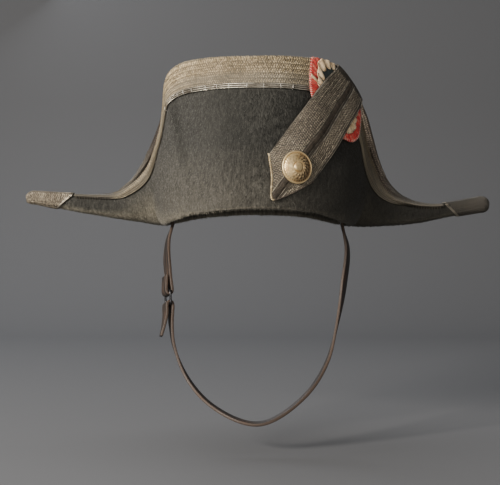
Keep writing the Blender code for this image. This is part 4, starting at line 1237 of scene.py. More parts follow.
def brass_finish():
    """Pale brass with wear: brown in the hollows, a painted shade towards one side, fine scratches.
    """
    finish = Finish("aged brass", (0.5, 0.43, 0.32), 0.4, 0.8)
    clouds = finish.noise(190, 5, 0.65)
    grain = finish.noise(1500, 3)
    patina, side, away = finish.parts(finish.layer("patina"))
    black, brown = (0.09, 0.055, 0.03), (0.22, 0.14, 0.078)
    plain, pale = (0.62, 0.41, 0.19), (1.0, 0.76, 0.41)
    colour = finish.ramp(clouds, (0.22, 0.36, 0.58), brown, plain, pale)
    # Painted shade: browner towards one side of the button
    colour = finish.mix(finish.span(side, 0.42, 0.8, 0.0, 0.75), colour, brown)
    colour = finish.mix(finish.span(away, 0.90, 0.94, 0.0, 0.95), colour, pale)
    colour = finish.mix(finish.span(patina, 0.05, 0.6, 0.0, 0.95), colour, black)
    roughness = finish.span(clouds, 0.35, 0.65, 0.46, 0.3)
    normal = finish.bump(finish.math("ADD", grain, clouds), 0.16 * MM)
    return finish.link(base_color=colour, roughness=roughness, normal=normal)


def leather_finish():
    """Dark strap leather: fine grain, and brown where the dressing has rubbed off."""
    finish = Finish("strap leather", (0.05, 0.036, 0.027), 0.5, specular=0.45)
    wear = finish.noise((0.05, 0.35, 1.0), 4, layer="strap")
    inputs = {"Vector": finish.scaled(finish.place(), 1100), "Scale": 1.0}
    grain = finish.node("TexVoronoi", inputs).outputs["Distance"]
    edge = finish.math("ABSOLUTE", finish.parts(finish.layer("strap"))[1])
    dark, plain, tan = (0.014, 0.012, 0.011), (0.034, 0.028, 0.024), (0.12, 0.062, 0.034)
    colour = finish.ramp(wear, (0.35, 0.52, 0.74), dark, plain, tan)
    colour = finish.mix(finish.span(edge, 5.6, 6.8, 0.0, 0.6), colour, (0.085, 0.055, 0.038))
    roughness = finish.span(wear, 0.3, 0.7, 0.42, 0.7)
    normal = finish.bump(grain, 0.12 * MM)
    return finish.link(base_color=colour, roughness=roughness, normal=normal)


def iron_finish():
    """Blackened iron, rubbed bright in places."""
    finish = Finish("blackened iron", (0.04, 0.04, 0.042), 0.45, 0.9)
    rub = finish.noise(500, 4)
    dark, plain, pale = (0.015, 0.015, 0.016), (0.05, 0.05, 0.055), (0.22, 0.21, 0.20)
    colour = finish.ramp(rub, (0.35, 0.55, 0.8), dark, plain, pale)
    roughness = finish.span(rub, 0.3, 0.7, 0.6, 0.35)
    normal = finish.bump(rub, 0.1 * MM)
    return finish.link(base_color=colour, roughness=roughness, normal=normal)


def make_camera():
    """Level camera in front of the hat, below the head hole's edge."""
    lens = bpy.data.cameras.new("camera")
    lens.sensor_width = SENSOR
    lens.lens = SENSOR * FOCAL_PIXELS / FRAME_WIDTH
    lens.clip_start, lens.clip_end = 0.01, 50
    camera = bpy.data.objects.new("camera", lens)
    camera.location = CAMERA_PLACE
    camera.rotation_euler = (math.radians(90), 0, 0)
    bpy.context.scene.collection.objects.link(camera)
    bpy.context.scene.camera = camera


def make_light(name, place, size, power, colour):
    """A soft square light that looks at the hat."""
    lamp = bpy.data.lights.new(name, "AREA")
    lamp.shape = "SQUARE"
    lamp.size = size
    lamp.energy = power
    lamp.color = colour
    thing = bpy.data.objects.new(name, lamp)
    thing.location = place
    way = Vector(LIGHT_TARGET) - Vector(place)
    thing.rotation_euler = way.to_track_quat("-Z", "Y").to_euler()
    bpy.context.scene.collection.objects.link(thing)


def make_studio():
    """Floor that curves up into a wall, and soft lights."""
    profile = [(-STUDIO_REACH, FLOOR_HEIGHT), (WALL_PLACE - WALL_BEND, FLOOR_HEIGHT)]
    for k in range(1, WALL_STEPS + 1):
        angle = math.pi / 2 * k / WALL_STEPS
        back, up = WALL_BEND * math.sin(angle), WALL_BEND * (1 - math.cos(angle))
        profile.append((WALL_PLACE - WALL_BEND + back, FLOOR_HEIGHT + up))
    profile.append((WALL_PLACE, STUDIO_REACH))
    points = [(x, y, z) for y, z in profile for x in (-STUDIO_HALF, STUDIO_HALF)]
    mesh = new_mesh("studio", points, grid_faces(len(profile), 2), (0, 0, 10))
    studio = bpy.data.objects.new("studio", mesh)
    bpy.context.scene.collection.objects.link(studio)
    studio.data.materials.append(Finish("studio", STUDIO_COLOUR, 0.9).material)
    world = bpy.data.worlds.new("studio")
    world.use_nodes = True
    colour, strength = world.node_tree.nodes["Background"].inputs[:2]
    colour.default_value = SKY_COLOUR
    strength.default_value = SKY_STRENGTH
    bpy.context.scene.world = world
    for light in LIGHTS:
        make_light(*light)


def make_brim(finish):
    """Both flaps and both horns as one felt shell with the oval head hole."""
    front_stations, front = felt_grid(FRONT, -1)
    rear_stations, rear = felt_grid(REAR, 1)
    rows, columns = front.shape[:2]
    front_index = np.arange(rows * columns).reshape(rows, columns)
    rear_index = front_index + rows * columns
    on_keel = (rear_stations <= 0) | (rear_stations >= 1)
    rear_index[on_keel, 0] = front_index[on_keel, 0]
    points = np.vstack([front.reshape(-1, 3), rear.reshape(-1, 3)])
    used = np.unique(np.concatenate([front_index.ravel(), rear_index.ravel()]))
    lookup = np.zeros(len(points), int)
    lookup[used] = np.arange(len(used))
    front_index, rear_index, points = lookup[front_index], lookup[rear_index], points[used]
    quads = np.array(grid_faces(rows, columns))
    faces = [tuple(front_index.flat[k] for k in quad) for quad in quads]
    faces += [tuple(rear_index.flat[k] for k in quad[::-1]) for quad in quads]
    mesh = new_mesh("felt_brim", points, faces, (0, -3 * HOLE_Y, FLAP_HEIGHT / 2))
    brim = new_piece("felt_brim", mesh, finish, "black_felt", "brim")
    weights = np.ones(len(points))
    for index, table, side, stations in (
        (front_index, FRONT, -1, front_stations),
        (rear_index, REAR, 1, rear_stations),
    ):
        way = section_curves(sections(table, side, stations))[1][:, -1]
        weights[index] = np.clip(way / PRESSED_WAY, PRESSED_SHARE, 1)[:, None]
    pressed = brim.vertex_groups.new(name="pressed")
    for k, weight in enumerate(weights):
        pressed.add([k], weight, "REPLACE")
    shell(brim, FELT, -1, pressed.name)
    place = np.zeros(3 * len(brim.data.vertices))
    brim.data.vertices.foreach_get("co", place)
    place = place.reshape(-1, 3)
    outer, inner = place[: len(points)], place[len(points) :]
    front = Flap(front_stations, outer[front_index], inner[front_index])
    rear = Flap(rear_stations, outer[rear_index], inner[rear_index])
    return brim, front, rear


def crown_point(around, share):
    """A point of the crown's outer face: compass from -X towards -Y, and share of the way up."""
    profile = np.array(CROWN_PROFILE)
    way = ways_along(profile)
    high, radius = interpolate(np.column_stack([way, profile]), share * way[-1])[0]
    station = (around if around <= 180 else 360 - around) / 180
    low = FLAP_HEIGHT * interpolate(SEAT_HEIGHTS, station)[0, 0]
    angle = math.radians(around)
    return (
        -(HOLE_X - CLEARANCE) * radius * math.cos(angle),
        -(HOLE_Y - CLEARANCE) * radius * math.sin(angle),
        low + (CROWN_HEIGHT - low) * high,
    )


def make_crown(finish):
    """The dome that the head goes into, open below."""
    arounds = np.linspace(0, 360, CROWN_SEGMENTS, endpoint=False)
    shares = np.linspace(0, 1, CROWN_RINGS)
    grid = np.array([[crown_point(a, s) for a in arounds] for s in shares])
    points = [*grid.reshape(-1, 3), (0, 0, CROWN_HEIGHT)]
    faces = domed_faces(CROWN_RINGS, CROWN_SEGMENTS)
    mesh = new_mesh("felt_crown", points, faces, (0, 0, 3 * CROWN_HEIGHT))
    shell(new_piece("felt_crown", mesh, finish, "black_felt", "crown"), FELT, -1)
    return np.concatenate([grid, grid[:, :1]], axis=1)


def galloon_grid(flap):
    """Points of the braid's near face, from its outer border over the edge to its inner one."""
    start = -SLEEVES["tip_left"][2] + SLEEVE_GAP / HORN_REACH
    end = 1 + SLEEVES["tip_right"][2] - SLEEVE_GAP / HORN_REACH
    above, below = start + STATION_MARGIN, end - STATION_MARGIN
    between = (flap.stations > above) & (flap.stations < below)
    grid = []
    for station in [start, *flap.stations[between], end]:
        leaf = interpolate(LEAVES, station)[0]
        outside, inside = leaf[0] * GALLOON_WIDTH, leaf[1] * GALLOON_TURN
        down = outside * np.linspace(1, 0, 2 * BAND_STEPS + 1)
        up = inside * np.linspace(0, 1, INSIDE_STEPS + 1)
        grid.append(
            np.vstack(
                [
                    flap.places(station, down, GALLOON_GAP),
                    flap.edge_arc(station, GALLOON_GAP, INNER_GAP, GALLOON_GAP, EDGE_ARC),
                    flap.places(station, up, INNER_GAP, inside=True),
                ]
            )
        )
    return np.array(grid)


def outward_surface(grid, lift, reference, towards):
    """The surface that lies off a grid on the side of a point."""
    surface = Surface(grid, reference)
    middle = len(grid) // 2
    spot, normal = grid[middle, reference], surface.normals[middle, reference]
    if np.dot(normal, np.asarray(towards) - spot) < 0:
        surface.normals = -surface.normals
    moved = Surface(grid + surface.normals * lift, 0)
    moved.normals = surface.normals
    moved.along, moved.across = surface.along, surface.across
    return moved


def braid_vectors(surface):
    """Distances along and across in millimetres for each point of a grid."""
    along = np.broadcast_to(surface.along[:, None], surface.across.shape)
    return np.stack([along, surface.across, np.zeros_like(along)], axis=-1) / MM


def twice(vectors):
    """Vectors of a grid for the near and the far points of its wall."""
    flat = vectors.reshape(-1, 3)
    return np.vstack([flat, flat])


def make_tack(surface, where, random):
    """A stitch over the braid's border, from behind its edge to beyond the last wire."""
    reach = np.linspace(-TACK_BEYOND, WIRE_PLACES[-1] + TACK_OVER, TACK_POINTS)
    lift = TACK_ARCH * np.sin(np.linspace(0, math.pi, TACK_POINTS)) - TACK_SUNK
    sway = random.normal(0, TACK_SWAY, TACK_POINTS)
    line, normal = surface.at(where + sway, np.maximum(reach, 0))
    beyond = surface.at(where, 0.0)[0] - surface.at(where, 1.0 * MM)[0]
    line = line + normal * lift[:, None]
    line += unit(beyond) * np.maximum(-reach, 0)[:, None]
    line[0] -= normal[0] * TACK_END
    return tube(line, TACK_RADIUS)


def make_galloon(name, node, flap, finishes, kind, seed):
    """Braid folded over a flap's edge: its wall, its weave, its border wires and its tacks."""
    slot = "tarnished_galloon"
    grid = galloon_grid(flap)
    reference = 2 * BAND_STEPS
    side = 1 if grid[:, 0, 1].mean() > 0 else -1
    above = (0, 3 * side * HOLE_Y, 3 * FLAP_HEIGHT)
    surface = outward_surface(grid, GALLOON_THICK, reference, above)
    mesh = new_mesh(name, grid.reshape(-1, 3), grid_faces(*grid.shape[:2]), above)
    base = new_piece(name, mesh, finishes[kind + "base"], slot, node)
    shell(base, GALLOON_THICK, 1)
    set_vectors(base.data, "braid", twice(braid_vectors(surface)))

    def fold_at(ways):
        return np.interp(ways, surface.along, surface.across[:, reference])

    random = np.random.default_rng(seed)
    total = surface.along[-1]
    reach = GALLOON_WIDTH + GALLOON_TURN + WEAVE_SPARE
    along, across, lean = herringbone(0, total, reach, random)
    across = across - np.maximum(0, GALLOON_WIDTH - fold_at(along))
    keep = (across > BORDER) & (across < surface.widths(along) - INNER_MARGIN)
    along, across = along[keep], across[keep]
    ticks = np.arange(TICK_PITCH, total - TICK_PITCH, TICK_PITCH)
    fold = fold_at(ticks)
    tick_leans = 90 + random.normal(0, TICK_JITTER, len(ticks))
    parts = [
        threads(surface, along, across, lean[keep]),
        threads(surface, ticks, fold - TICK_BACK * TICK_LONG, tick_leans, TICK_LONG),
    ]
    flat = np.hstack([(along, across, 0 * along), (ticks, fold, 0 * ticks)]).T
    flat = np.repeat(flat, THREAD_POINTS, axis=0) / MM
    new_parts(name + "_weave", parts, finishes[kind + "thread"], slot, "braid", flat)
    steps = np.arange(0, total, WIRE_STEP)
    wide = fold_at(steps)
    border = BORDER + BORDER_SPARE
    places = [np.minimum(place, wide * place / border) for place in WIRE_PLACES]
    lines = [(place, WIRE_LIFT) for place in places]
    lines.append((surface.widths(steps) - INNER_WIRE, INNER_LIFT))
    parts = [tube(surface.at(steps, place, lift)[0], WIRE_RADIUS) for place, lift in lines]
    new_parts(name + "_wires", parts, finishes[kind + "wire"], slot)
    tacks = []
    where = 0.0
    while where < total:
        where += TACK_SPACING * random.uniform(*TACK_UNEVEN)
        if fold_at(where) >= TACKED_SHARE * GALLOON_WIDTH:
            tacks.append(make_tack(surface, where, random))
    new_parts(name + "_tacks", tacks, finishes["stitch"], slot)


def make_sleeve(node, front, rear, finishes, seed):
    """Galloon sleeve round a horn's end, its opening cut on the slant and edged with wire."""
    sign, low_start, high_start = SLEEVES[node]
    origin = 0 if sign < 0 else 1
    shares = np.linspace(0, SLEEVE_REACH, SLEEVE_SHARES)
    spots = [(front, share) for share in shares] + [(rear, share) for share in shares[::-1]]
    rings = []
    for ring in range(SLEEVE_RINGS):
        row = []
        for flap, share in spots:
            start = high_start + (low_start - high_start) * share**SLEEVE_CURVE
            station = origin + sign * (start + (1 - start) * ring / (SLEEVE_RINGS - 1))
            if share == 0:
                row.append(flap.edge(station, GALLOON_GAP, 2 * GALLOON_GAP))
            else:
                row.append(flap.places(station, flap.length(station) * share, GALLOON_GAP))
        rings.append(np.array(row))
    last, centre = rings[-1], rings[-1].mean(axis=0)
    beyond = np.array([sign * TIP_BEYOND, 0, 0])
    for angle in np.radians(np.linspace(*SLEEVE_CLOSING)):
        rings.append(centre + (last - centre) * math.cos(angle) + beyond * math.sin(angle))
    grid = np.array(rings)
    points = [*grid.reshape(-1, 3), centre + beyond]
    away = (sign * 2 * HORN_REACH, 0, FLAP_HEIGHT)
    slot = "tarnished_galloon"
    name = "sleeve_" + node
    mesh = new_mesh(name, points, domed_faces(*grid.shape[:2]), away)
    piece = new_piece(name, mesh, finishes["sleeve_base"], slot, node)
    shell(piece, GALLOON_THICK, 1)
    surface = outward_surface(np.hstack([grid, grid[:, :1]]), GALLOON_THICK, 0, BEFORE)
    flat = braid_vectors(surface)[:, :-1].reshape(-1, 3)
    set_vectors(piece.data, "braid", twice(np.vstack([flat, flat[-1:]])))
    random = np.random.default_rng(seed)
    end, reach = surface.along[-1] - SLEEVE_END, surface.widths(0) + SLEEVE_SPARE
    along, across, lean = herringbone(SLEEVE_START, end, reach, random)
    share = across / surface.widths(0)
    keep = share < SLEEVE_SEAM
    along, across = along[keep], (share * surface.widths(along))[keep]
    parts = [threads(surface, along, across, lean[keep])]
    new_parts(name + "_weave", parts, finishes["sleeve_thread"], slot, "braid")
    shares = np.linspace(0, 1, SLEEVE_WIRE_STEPS)
    lines = [surface.at(way, surface.widths(way) * shares, WIRE_LIFT) for way in SLEEVE_WIRES]
    parts = [tube(line, SLEEVE_WIRE_RADIUS) for line, _ in lines]
    new_parts(name + "_wires", parts, finishes["loop_wire"], slot)


class FrontFace:
    """The front flap's outer face, found by a compass turn from the front and a height."""

    def __init__(self, brim, flap):
        bpy.context.view_layer.update()
        self.tree = BVHTree.FromObject(brim, bpy.context.evaluated_depsgraph_get())
        self.stations = np.linspace(0.5, 1.0, SAMPLES)
        rim = np.array([flap.row(station, flap.outer)[-1] for station in self.stations])
        self.turns = np.degrees(np.arctan2(rim[:, 0], -rim[:, 1]))
        self.rim = rim[:, 2]

    def edge_height(self, turn):
        """Height of the flap's edge."""
        return float(np.interp(turn, self.turns, self.rim))

    def edge_station(self, turn):
        """Station of the flap's edge."""
        return float(np.interp(turn, self.turns, self.stations))

    def hit(self, turn, high):
        """The point of the face itself."""
        angle = math.radians(turn)
        way = Vector((math.sin(angle), -math.cos(angle), 0))
        place = self.tree.ray_cast(way * 3 * HOLE_Y + Vector((0, 0, high)), -way)[0]
        return np.array(place)

    def point(self, turn, high, lift):
        """A point lifted off the face, and the direction in which it was lifted."""
        low = min(high, self.edge_height(turn) - FACE_MARGIN)
        top = min(low + FACE_STEP, self.edge_height(turn) - FACE_MARGIN)
        up = self.hit(turn, top) - self.hit(turn, top - 2 * FACE_STEP)
        level = min(low, self.edge_height(turn + FACE_TURN) - FACE_MARGIN)
        across = self.hit(turn + FACE_TURN, level) - self.hit(turn - FACE_TURN, level)
        normal = unit(np.cross(across, up))
        place = self.hit(turn, low) + up * (high - low) / up[2]
        return place + normal * lift, normal


def rim_radius(angle):
    """Radius of the cockade at an angle in radians from +X, before the flap's edge cuts it."""
    degrees = (math.degrees(angle) + 90) % 360 - 90
    return COCKADE_RADIUS * interpolate(COCKADE_RIM, degrees)[0, 0]


def rosette_place(angle, radius):
    """Compass turn and height at an angle and a distance from the cockade's centre."""
    turn = COCKADE_TURN + math.degrees(radius * math.cos(angle) / HOLE_Y)
    return turn, COCKADE_HEIGHT + radius * math.sin(angle)


def rosette_limit(face, turn):
    """Height that the cockade may reach: the galloon's top, or under the loop the felt's."""
    beside_loop = turn < LOOP[-1][1] - FACE_TURN
    top = GALLOON_GAP + GALLOON_THICK if beside_loop else 0
    return face.edge_height(turn) + top - COCKADE_EDGE


def cut_radius(face, angle):
    """Radius of the cockade at an angle, cut along the flap's edge."""
    for radius in rim_radius(angle) * np.linspace(1, 0.5, COCKADE_CUTS):
        turn, high = rosette_place(angle, radius)
        if high <= rosette_limit(face, turn):
            break
    return radius


class Rosette:
    """Points over the cockade's place, found by angle, distance from its rim and lift."""

    def __init__(self, face):
        self.face = face
        self.angles = np.radians(np.arange(-90, 271, 1.0))
        self.cuts = [cut_radius(face, angle) for angle in self.angles]

    def point(self, angle, way, lift):
        """A point at a distance in from the rim, kept inside the cut and the centre."""
        turned = (angle + math.pi / 2) % (2 * math.pi) - math.pi / 2
        cut = float(np.interp(turned, self.angles, self.cuts))
        way = way * (1 - ROSETTE_LEAN * math.cos(angle))
        radius = min(max(rim_radius(angle) - way, ROSETTE_HEART), cut)
        base = GALLOON_GAP + GALLOON_THICK + COCKADE_GAP
        return self.face.point(*rosette_place(angle, radius), base + lift)[0]

    def line(self, angle, stops):
        """Points at one angle from (distance, lift) pairs in millimetres."""
        return [self.point(angle, way * MM, lift * MM) for way, lift in stops]


def make_ribbon(rosette, name, ring, finish, *nodes):
    """One pleated ribbon of the cockade between two distances in from its rim."""
    outer, inner, pleats, lift, pleat, scallop, first, last = ring
    count = round(pleats * (last - first) / 360 * PLEAT_POINTS)
    closed = last - first == 360
    angles = np.radians(first + (last - first) * np.arange(count + 1 - closed) / count)
    grid = []
    for step in range(RIBBON_STEPS):
        share = step / (RIBBON_STEPS - 1)
        row = []
        for k, angle in enumerate(angles):
            phase = (k % PLEAT_POINTS) / PLEAT_POINTS
            wave = 0.5 - 0.5 * math.cos(2 * math.pi * phase)
            lobe = math.sqrt(max(0, 1 - (2 * phase - 1) ** 2))
            reach = inner - scallop * (1 - lobe)
            high = lift + pleat * wave + RIBBON_ROLL * math.sin(math.pi * share)
            row.append(rosette.point(angle, outer + (reach - outer) * share, high))
        grid.append(row)
    grid = np.array(grid)
    faces = grid_faces(RIBBON_STEPS, len(angles), closed)
    mesh = new_mesh(name, grid.reshape(-1, 3), faces, BEFORE)
    shell(new_piece(name, mesh, finish, "cockade_ribbon", *nodes), RIBBON_THICK, 1)


def make_cockade(face, finishes):
    """Red ring, cream lobes that point inwards over a dark pleated heart, and its stitches."""
    rosette = Rosette(face)
    for name, (finish, *ring) in RIBBONS.items():
        nodes = ["cockade"] if name == "rosette_red" else []
        make_ribbon(rosette, name, ring, finishes[finish], *nodes)
    for name, finish, count, stops, radius in STITCHES:
        angles = np.linspace(0, 2 * math.pi, count, endpoint=False)
        parts = [tube(rosette.line(angle, stops), radius, 5) for angle in angles]
        new_parts(name, parts, finishes[finish], "cockade_ribbon")


def table_place(along, across):
    """Compass turn and height in the loop's table: across runs from -1 at its left edge to 1."""
    row = interpolate(LOOP, [along])[0]
    left, middle, right = row[0:2], row[2:4], row[4:6]
    end = right if across > 0 else left
    turn, high = middle + (end - middle) * abs(across)
    return turn, high * FLAP_HEIGHT


def loop_place(face, along, across):
    """Compass turn and height on the loop, its last row brought to the flap's edge."""
    bow = LOOP_BOW * math.sin(math.pi * across) ** 2 if across < 0 else 0
    wave = LOOP_WAVE * math.sin(3 * math.pi * across) if across > 0 else 0
    along = along + (bow + wave) * max(0, 1 - along / LOOP_RAGGED)
    turn, high = table_place(along, across)
    last_turn, last_high = table_place(1, across)
    return turn, high + along**3 * (face.edge_height(last_turn) - last_high)


def loop_lift(turn, high):
    """Gap under the loop: it lies on the felt below and rises over the cockade."""
    across, up = math.radians(turn - COCKADE_TURN) * HOLE_Y, high - COCKADE_HEIGHT
    beyond = math.hypot(across, up) - rim_radius(math.atan2(up, across))
    share = min(1, max(0, (LOOP_RAMP - beyond) / (LOOP_RAMP - LOOP_MARGIN)))
    return LOOP_GAP + COCKADE_TOP * share * share * (3 - 2 * share)


def evened(grid, passes):
    """A grid of points with its small unevenness taken out, its borders kept in place."""
    for _ in range(passes):
        grid[1:-1] = (grid[:-2] + 2 * grid[1:-1] + grid[2:]) / 4
        grid[:, 1:-1] = (grid[:, :-2] + 2 * grid[:, 1:-1] + grid[:, 2:]) / 4
    return grid


def across_at(surface, along, share):
    """Distance across a surface of the line that keeps a share of the way between its sides."""
    columns = np.linspace(-1, 1, surface.across.shape[1])
    line = [np.interp(share, columns, row) for row in surface.across]
    return np.interp(along, surface.along, line)


def swayed(surface, along, share):
    """Distance across of a line beside the loop's strip, which doesn't keep to its middle."""
    sway = interpolate(LOOP_SWAY, np.atleast_1d(along / surface.along[-1]))[:, 0]
    sides = across_at(surface, along, -1), across_at(surface, along, 1)
    near = max(0, 1 - max(0, abs(share) - STRIP_EDGE) / SWAY_FADE)
    return across_at(surface, along, share) + sway * near * (sides[1] - sides[0]) / 2


def loop_rows(face):
    """Points of the loop on the flap's face, from its point to the edge, its mitre raised."""
    acrosses = np.linspace(-1, 1, 2 * LOOP_HALF + 1)
    alongs = np.linspace(0, LOOP_FACE, LOOP_STEPS)
    rows = []
    for along in alongs:
        spots = [loop_place(face, along, across) for across in acrosses]
        rows.append([face.point(turn, high, loop_lift(turn, high))[0] for turn, high in spots])
    rows = evened(np.array(rows), LOOP_PASSES)
    raised = LOOP_STEP * (alongs[:, None] < LOOP_MITRE * (1 - np.abs(acrosses)))
    return rows + outward_surface(rows, 0, LOOP_HALF, BEFORE).normals * raised[..., None]


def loop_fold(face, flap):
    """Points of the loop over the flap's edge and down behind it."""
    over = GALLOON_GAP + GALLOON_THICK + CLEARANCE
    under = INNER_GAP + GALLOON_THICK + 2 * CLEARANCE
    columns = []
    for across in np.linspace(-1, 1, 2 * LOOP_HALF + 1):
        station = face.edge_station(loop_place(face, 1, across)[0])
        first = flap.edge(station, COCKADE_TOP + LOOP_GAP, FOLD_RISES[0] * over)
        last = flap.edge(station, under, FOLD_RISES[1] * over, inside=True)
        rise = flap.rise(station) * over
        middle, half = (first + last) / 2, (first - last) / 2
        angles = np.radians(np.linspace(*FOLD_ANGLES))
        arc = [middle + half * math.cos(a) + rise * math.sin(a) for a in angles]
        down = LOOP_TURN_IN * np.linspace(*FOLD_DOWN)
        down = flap.places(station, down, under, inside=True)
        columns.append([first, *arc, last, *down])
    return zip(*columns, strict=True)


def loop_threads(surface, random):
    """Threads of the loop's herringbone, left out where its strip runs."""
    total = surface.along[-1]
    first = np.arange(1 * MM, total - LOOP_PITCH, LOOP_PITCH)
    step = 2 * LOOP_ROW / surface.widths(total / 2)
    parts = []
    for number, share in enumerate(np.arange(-LOOP_SIDES, LOOP_SIDES, step)):
        if LOOP_STRIP[0] - STRIP_MARGIN < share < STRIP_EDGE:
            continue
        ways = first + 0.5 * LOOP_PITCH * (number % 2)
        lean = LOOP_LEAN if number % 2 else 180 - LOOP_LEAN
        mitred = ways / total < LOOP_MITRE * (1 - abs(share))
        lean = lean + LOOP_TURNED * mitred + random.normal(0, LOOP_JITTER[1], len(ways))
        at = swayed(surface, ways, share) + random.normal(0, LOOP_JITTER[0], len(ways))
        parts.append(threads(surface, ways, at, lean, LOOP_LONG, LOOP_HIGH))
    return parts


def make_loop(face, flap, finishes):
    """Doubled braid from its point, up over the cockade, and turned in over the edge."""
    slot = "tarnished_galloon"
    grid = np.array([*loop_rows(face), *loop_fold(face, flap)])
    mesh = new_mesh("loop_braid", grid.reshape(-1, 3), grid_faces(*grid.shape[:2]), BEFORE)
    piece = new_piece("loop_braid", mesh, finishes["loop"], slot, "cockade_loop")
    shell(piece, LOOP_THICK, 1)
    set_vectors(piece.data, "braid", twice(braid_vectors(Surface(grid, LOOP_HALF))))
    surface = outward_surface(grid[:LOOP_STEPS], LOOP_THICK, LOOP_HALF, BEFORE)
    parts = loop_threads(surface, np.random.default_rng(LOOP_SEED))
    new_parts("loop_weave", parts, finishes["loop_thread"], slot, "braid")
    ribs = []
    for way in np.arange(RIB_START, surface.along[-1], RIB_PITCH):
        shares = np.linspace(*LOOP_STRIP, RIB_POINTS)
        span = [swayed(surface, way, share)[0] for share in shares]
        ribs.append(tube(surface.at(way, span, RIB_LIFT)[0], RIB_RADIUS, 5))
    new_parts("loop_ribs", ribs, finishes["strip"], slot, "braid")
    steps = np.linspace(0, surface.along[-1], LOOP_WIRE_STEPS)
    lines = [(swayed(surface, steps, share), radius) for share, radius in LOOP_WIRES]
    wires = [tube(surface.at(steps, at, radius / 2)[0], radius) for at, radius in lines]
    new_parts("loop_wires", wires, finishes["loop_wire"], slot)
    shares = np.linspace(0, 0.5, CORD_TURNS * CORD_STEPS + 1)
    for name, start, finish in (("loop_cord", 0.0, "loop_cord"), ("loop_fold", 0.5, "strip")):
        lines = [[cord_point(surface, start + k, phase) for k in shares] for phase in (0, math.pi)]
        new_parts(name, [tube(line, CORD_RADIUS) for line in lines], finishes[finish], slot)


def cord_point(surface, share, phase):
    """A point of one strand of the cord that lies along the loop's point."""
    width = float(surface.widths(0))
    spot, normal = surface.at(0.0, share * width)
    ahead, _ = surface.at(0.0, min(share + CORD_AHEAD, 1) * width)
    behind, _ = surface.at(0.0, max(share - CORD_AHEAD, 0) * width)
    side = np.cross(unit(ahead - behind), normal)
    angle = 2 * math.pi * share * CORD_TURNS + phase
    offset = normal * (math.sin(angle) * CORD_LAY - CORD_SUNK)
    return spot + side * math.cos(angle) * CORD_LAY + offset


def button_relief(radius, angle):
    """A wreath of plain leaves between the boss and the rim, and a ring of small beads."""
    side_share = min(1, max(0, WORN_START + math.cos(angle - WORN_AND_SHADE_TURN)))
    side_share = side_share * (1 - WORN_LEAST) + WORN_LEAST
    high, patina = 0.0, 0.0
    around = angle * LEAVES_ROUND / (2 * math.pi)
    for number, (middle, half) in enumerate(WREATH):
        inside = 1 - abs(radius - middle) / half
        if inside > 0:
            turn = (around + (radius - middle) * LEAF_SLANT + number / 2) % 1
            leaf = math.sin(math.pi * turn) ** LEAF_POWER
            high += leaf * math.sqrt(inside) * LEAF_RELIEF * side_share
            patina = (1 - leaf) * min(1, PATINA_RAMP * inside) * side_share
    inside = 1 - abs(radius - BEADS[0]) / BEADS[1]
    if inside > 0:
        bead = math.sin(math.pi * (2 * around % 1))
        high += BEAD_RELIEF * bead * math.sqrt(inside)
        patina = max(patina, BEAD_PATINA * side_share * (1 - bead))
    return high, patina


def make_button(face, finish):
    """Domed button with a thin rim, a wreath and a plain boss."""
    points, layer = [(0, 0, 0)], [(0, 0, 0)]
    for radius, high in interpolate(BUTTON_PROFILE, np.linspace(0, 1, BUTTON_RINGS)):
        for angle in 2 * math.pi * np.arange(BUTTON_SIDES) / BUTTON_SIDES:
            relief, patina = button_relief(radius, angle)
            reach = BUTTON_RADIUS * radius
            top = BUTTON_HEIGHT * high + relief
            points.append((reach * math.cos(angle), reach * math.sin(angle), top))
            # The second value is the side of the brass's painted shade
            layer.append((patina, 0.5 + 0.5 * radius * math.cos(angle - WORN_AND_SHADE_TURN), radius))
    points.append((0, 0, BUTTON_HEIGHT))
    layer.append((0, 0.5, 0))
    faces = [(0, 1 + (k + 1) % BUTTON_SIDES, 1 + k) for k in range(BUTTON_SIDES)]
    faces += [
        tuple(1 + index for index in face) for face in domed_faces(BUTTON_RINGS, BUTTON_SIDES)
    ]
    place, normal = face.point(BUTTON_TURN, BUTTON_PLACE, LOOP_GAP + BUTTON_BACK + CLEARANCE)
    turn = Vector(normal).to_track_quat("Z", "Y").to_matrix().to_4x4()
    mesh = new_mesh("button_dome", points, faces)
    set_vectors(mesh, "patina", layer)
    mesh.transform(Matrix.Translation(place) @ turn)
    new_piece("button_dome", mesh, finish, "aged_brass", "button")


def rounded_corners(across, up, radius, turns):
    """Points round a box with rounded corners, at the given degrees of each corner."""
    corners = ((1, 1, 0), (-1, 1, 90), (-1, -1, 180), (1, -1, 270))
    return [
        (
            side * (across - radius) + radius * math.cos(angle),
            end * (up - radius) + radius * math.sin(angle),
        )
        for side, end, first in corners
        for angle in np.radians(first + np.array(turns))
    ]


class StrapPath:
    """The chin strap's centre line, found by its distance from the -X end."""

    def __init__(self):
        reach = HEAD_WIDTH / 2 - CLEARANCE - STRAP_THICK / 2
        rows = np.array(STRAP, float)
        places = rows[:, :3] * np.array([reach, -STRAP_FORWARD, -STRAP_DROP])
        knots = ways_along(places)
        table = np.column_stack([knots, places, rows[:, 3]])
        self.fine = interpolate(table, np.linspace(0, knots[-1], 2 * SAMPLES))
        self.way = ways_along(self.fine[:, :3])
        self.length = self.way[-1]
        self.middle = BUCKLE_SHARE * self.length

    def at(self, distance):
        """Place, direction, width direction and outward direction."""
        values = [np.interp(distance, self.way, self.fine[:, k]) for k in range(4)]
        near = [distance - STRAP_THICK / 2, distance + STRAP_THICK / 2]
        ahead = [np.interp(near, self.way, self.fine[:, k]) for k in range(3)]
        run = unit(np.array([pair[1] - pair[0] for pair in ahead]))
        twist = math.radians(values[3])
        width = np.array([math.sin(twist), -math.cos(twist), 0])
        width = unit(width - width.dot(run) * run)
        return np.array(values[:3]), run, width, np.cross(run, width)


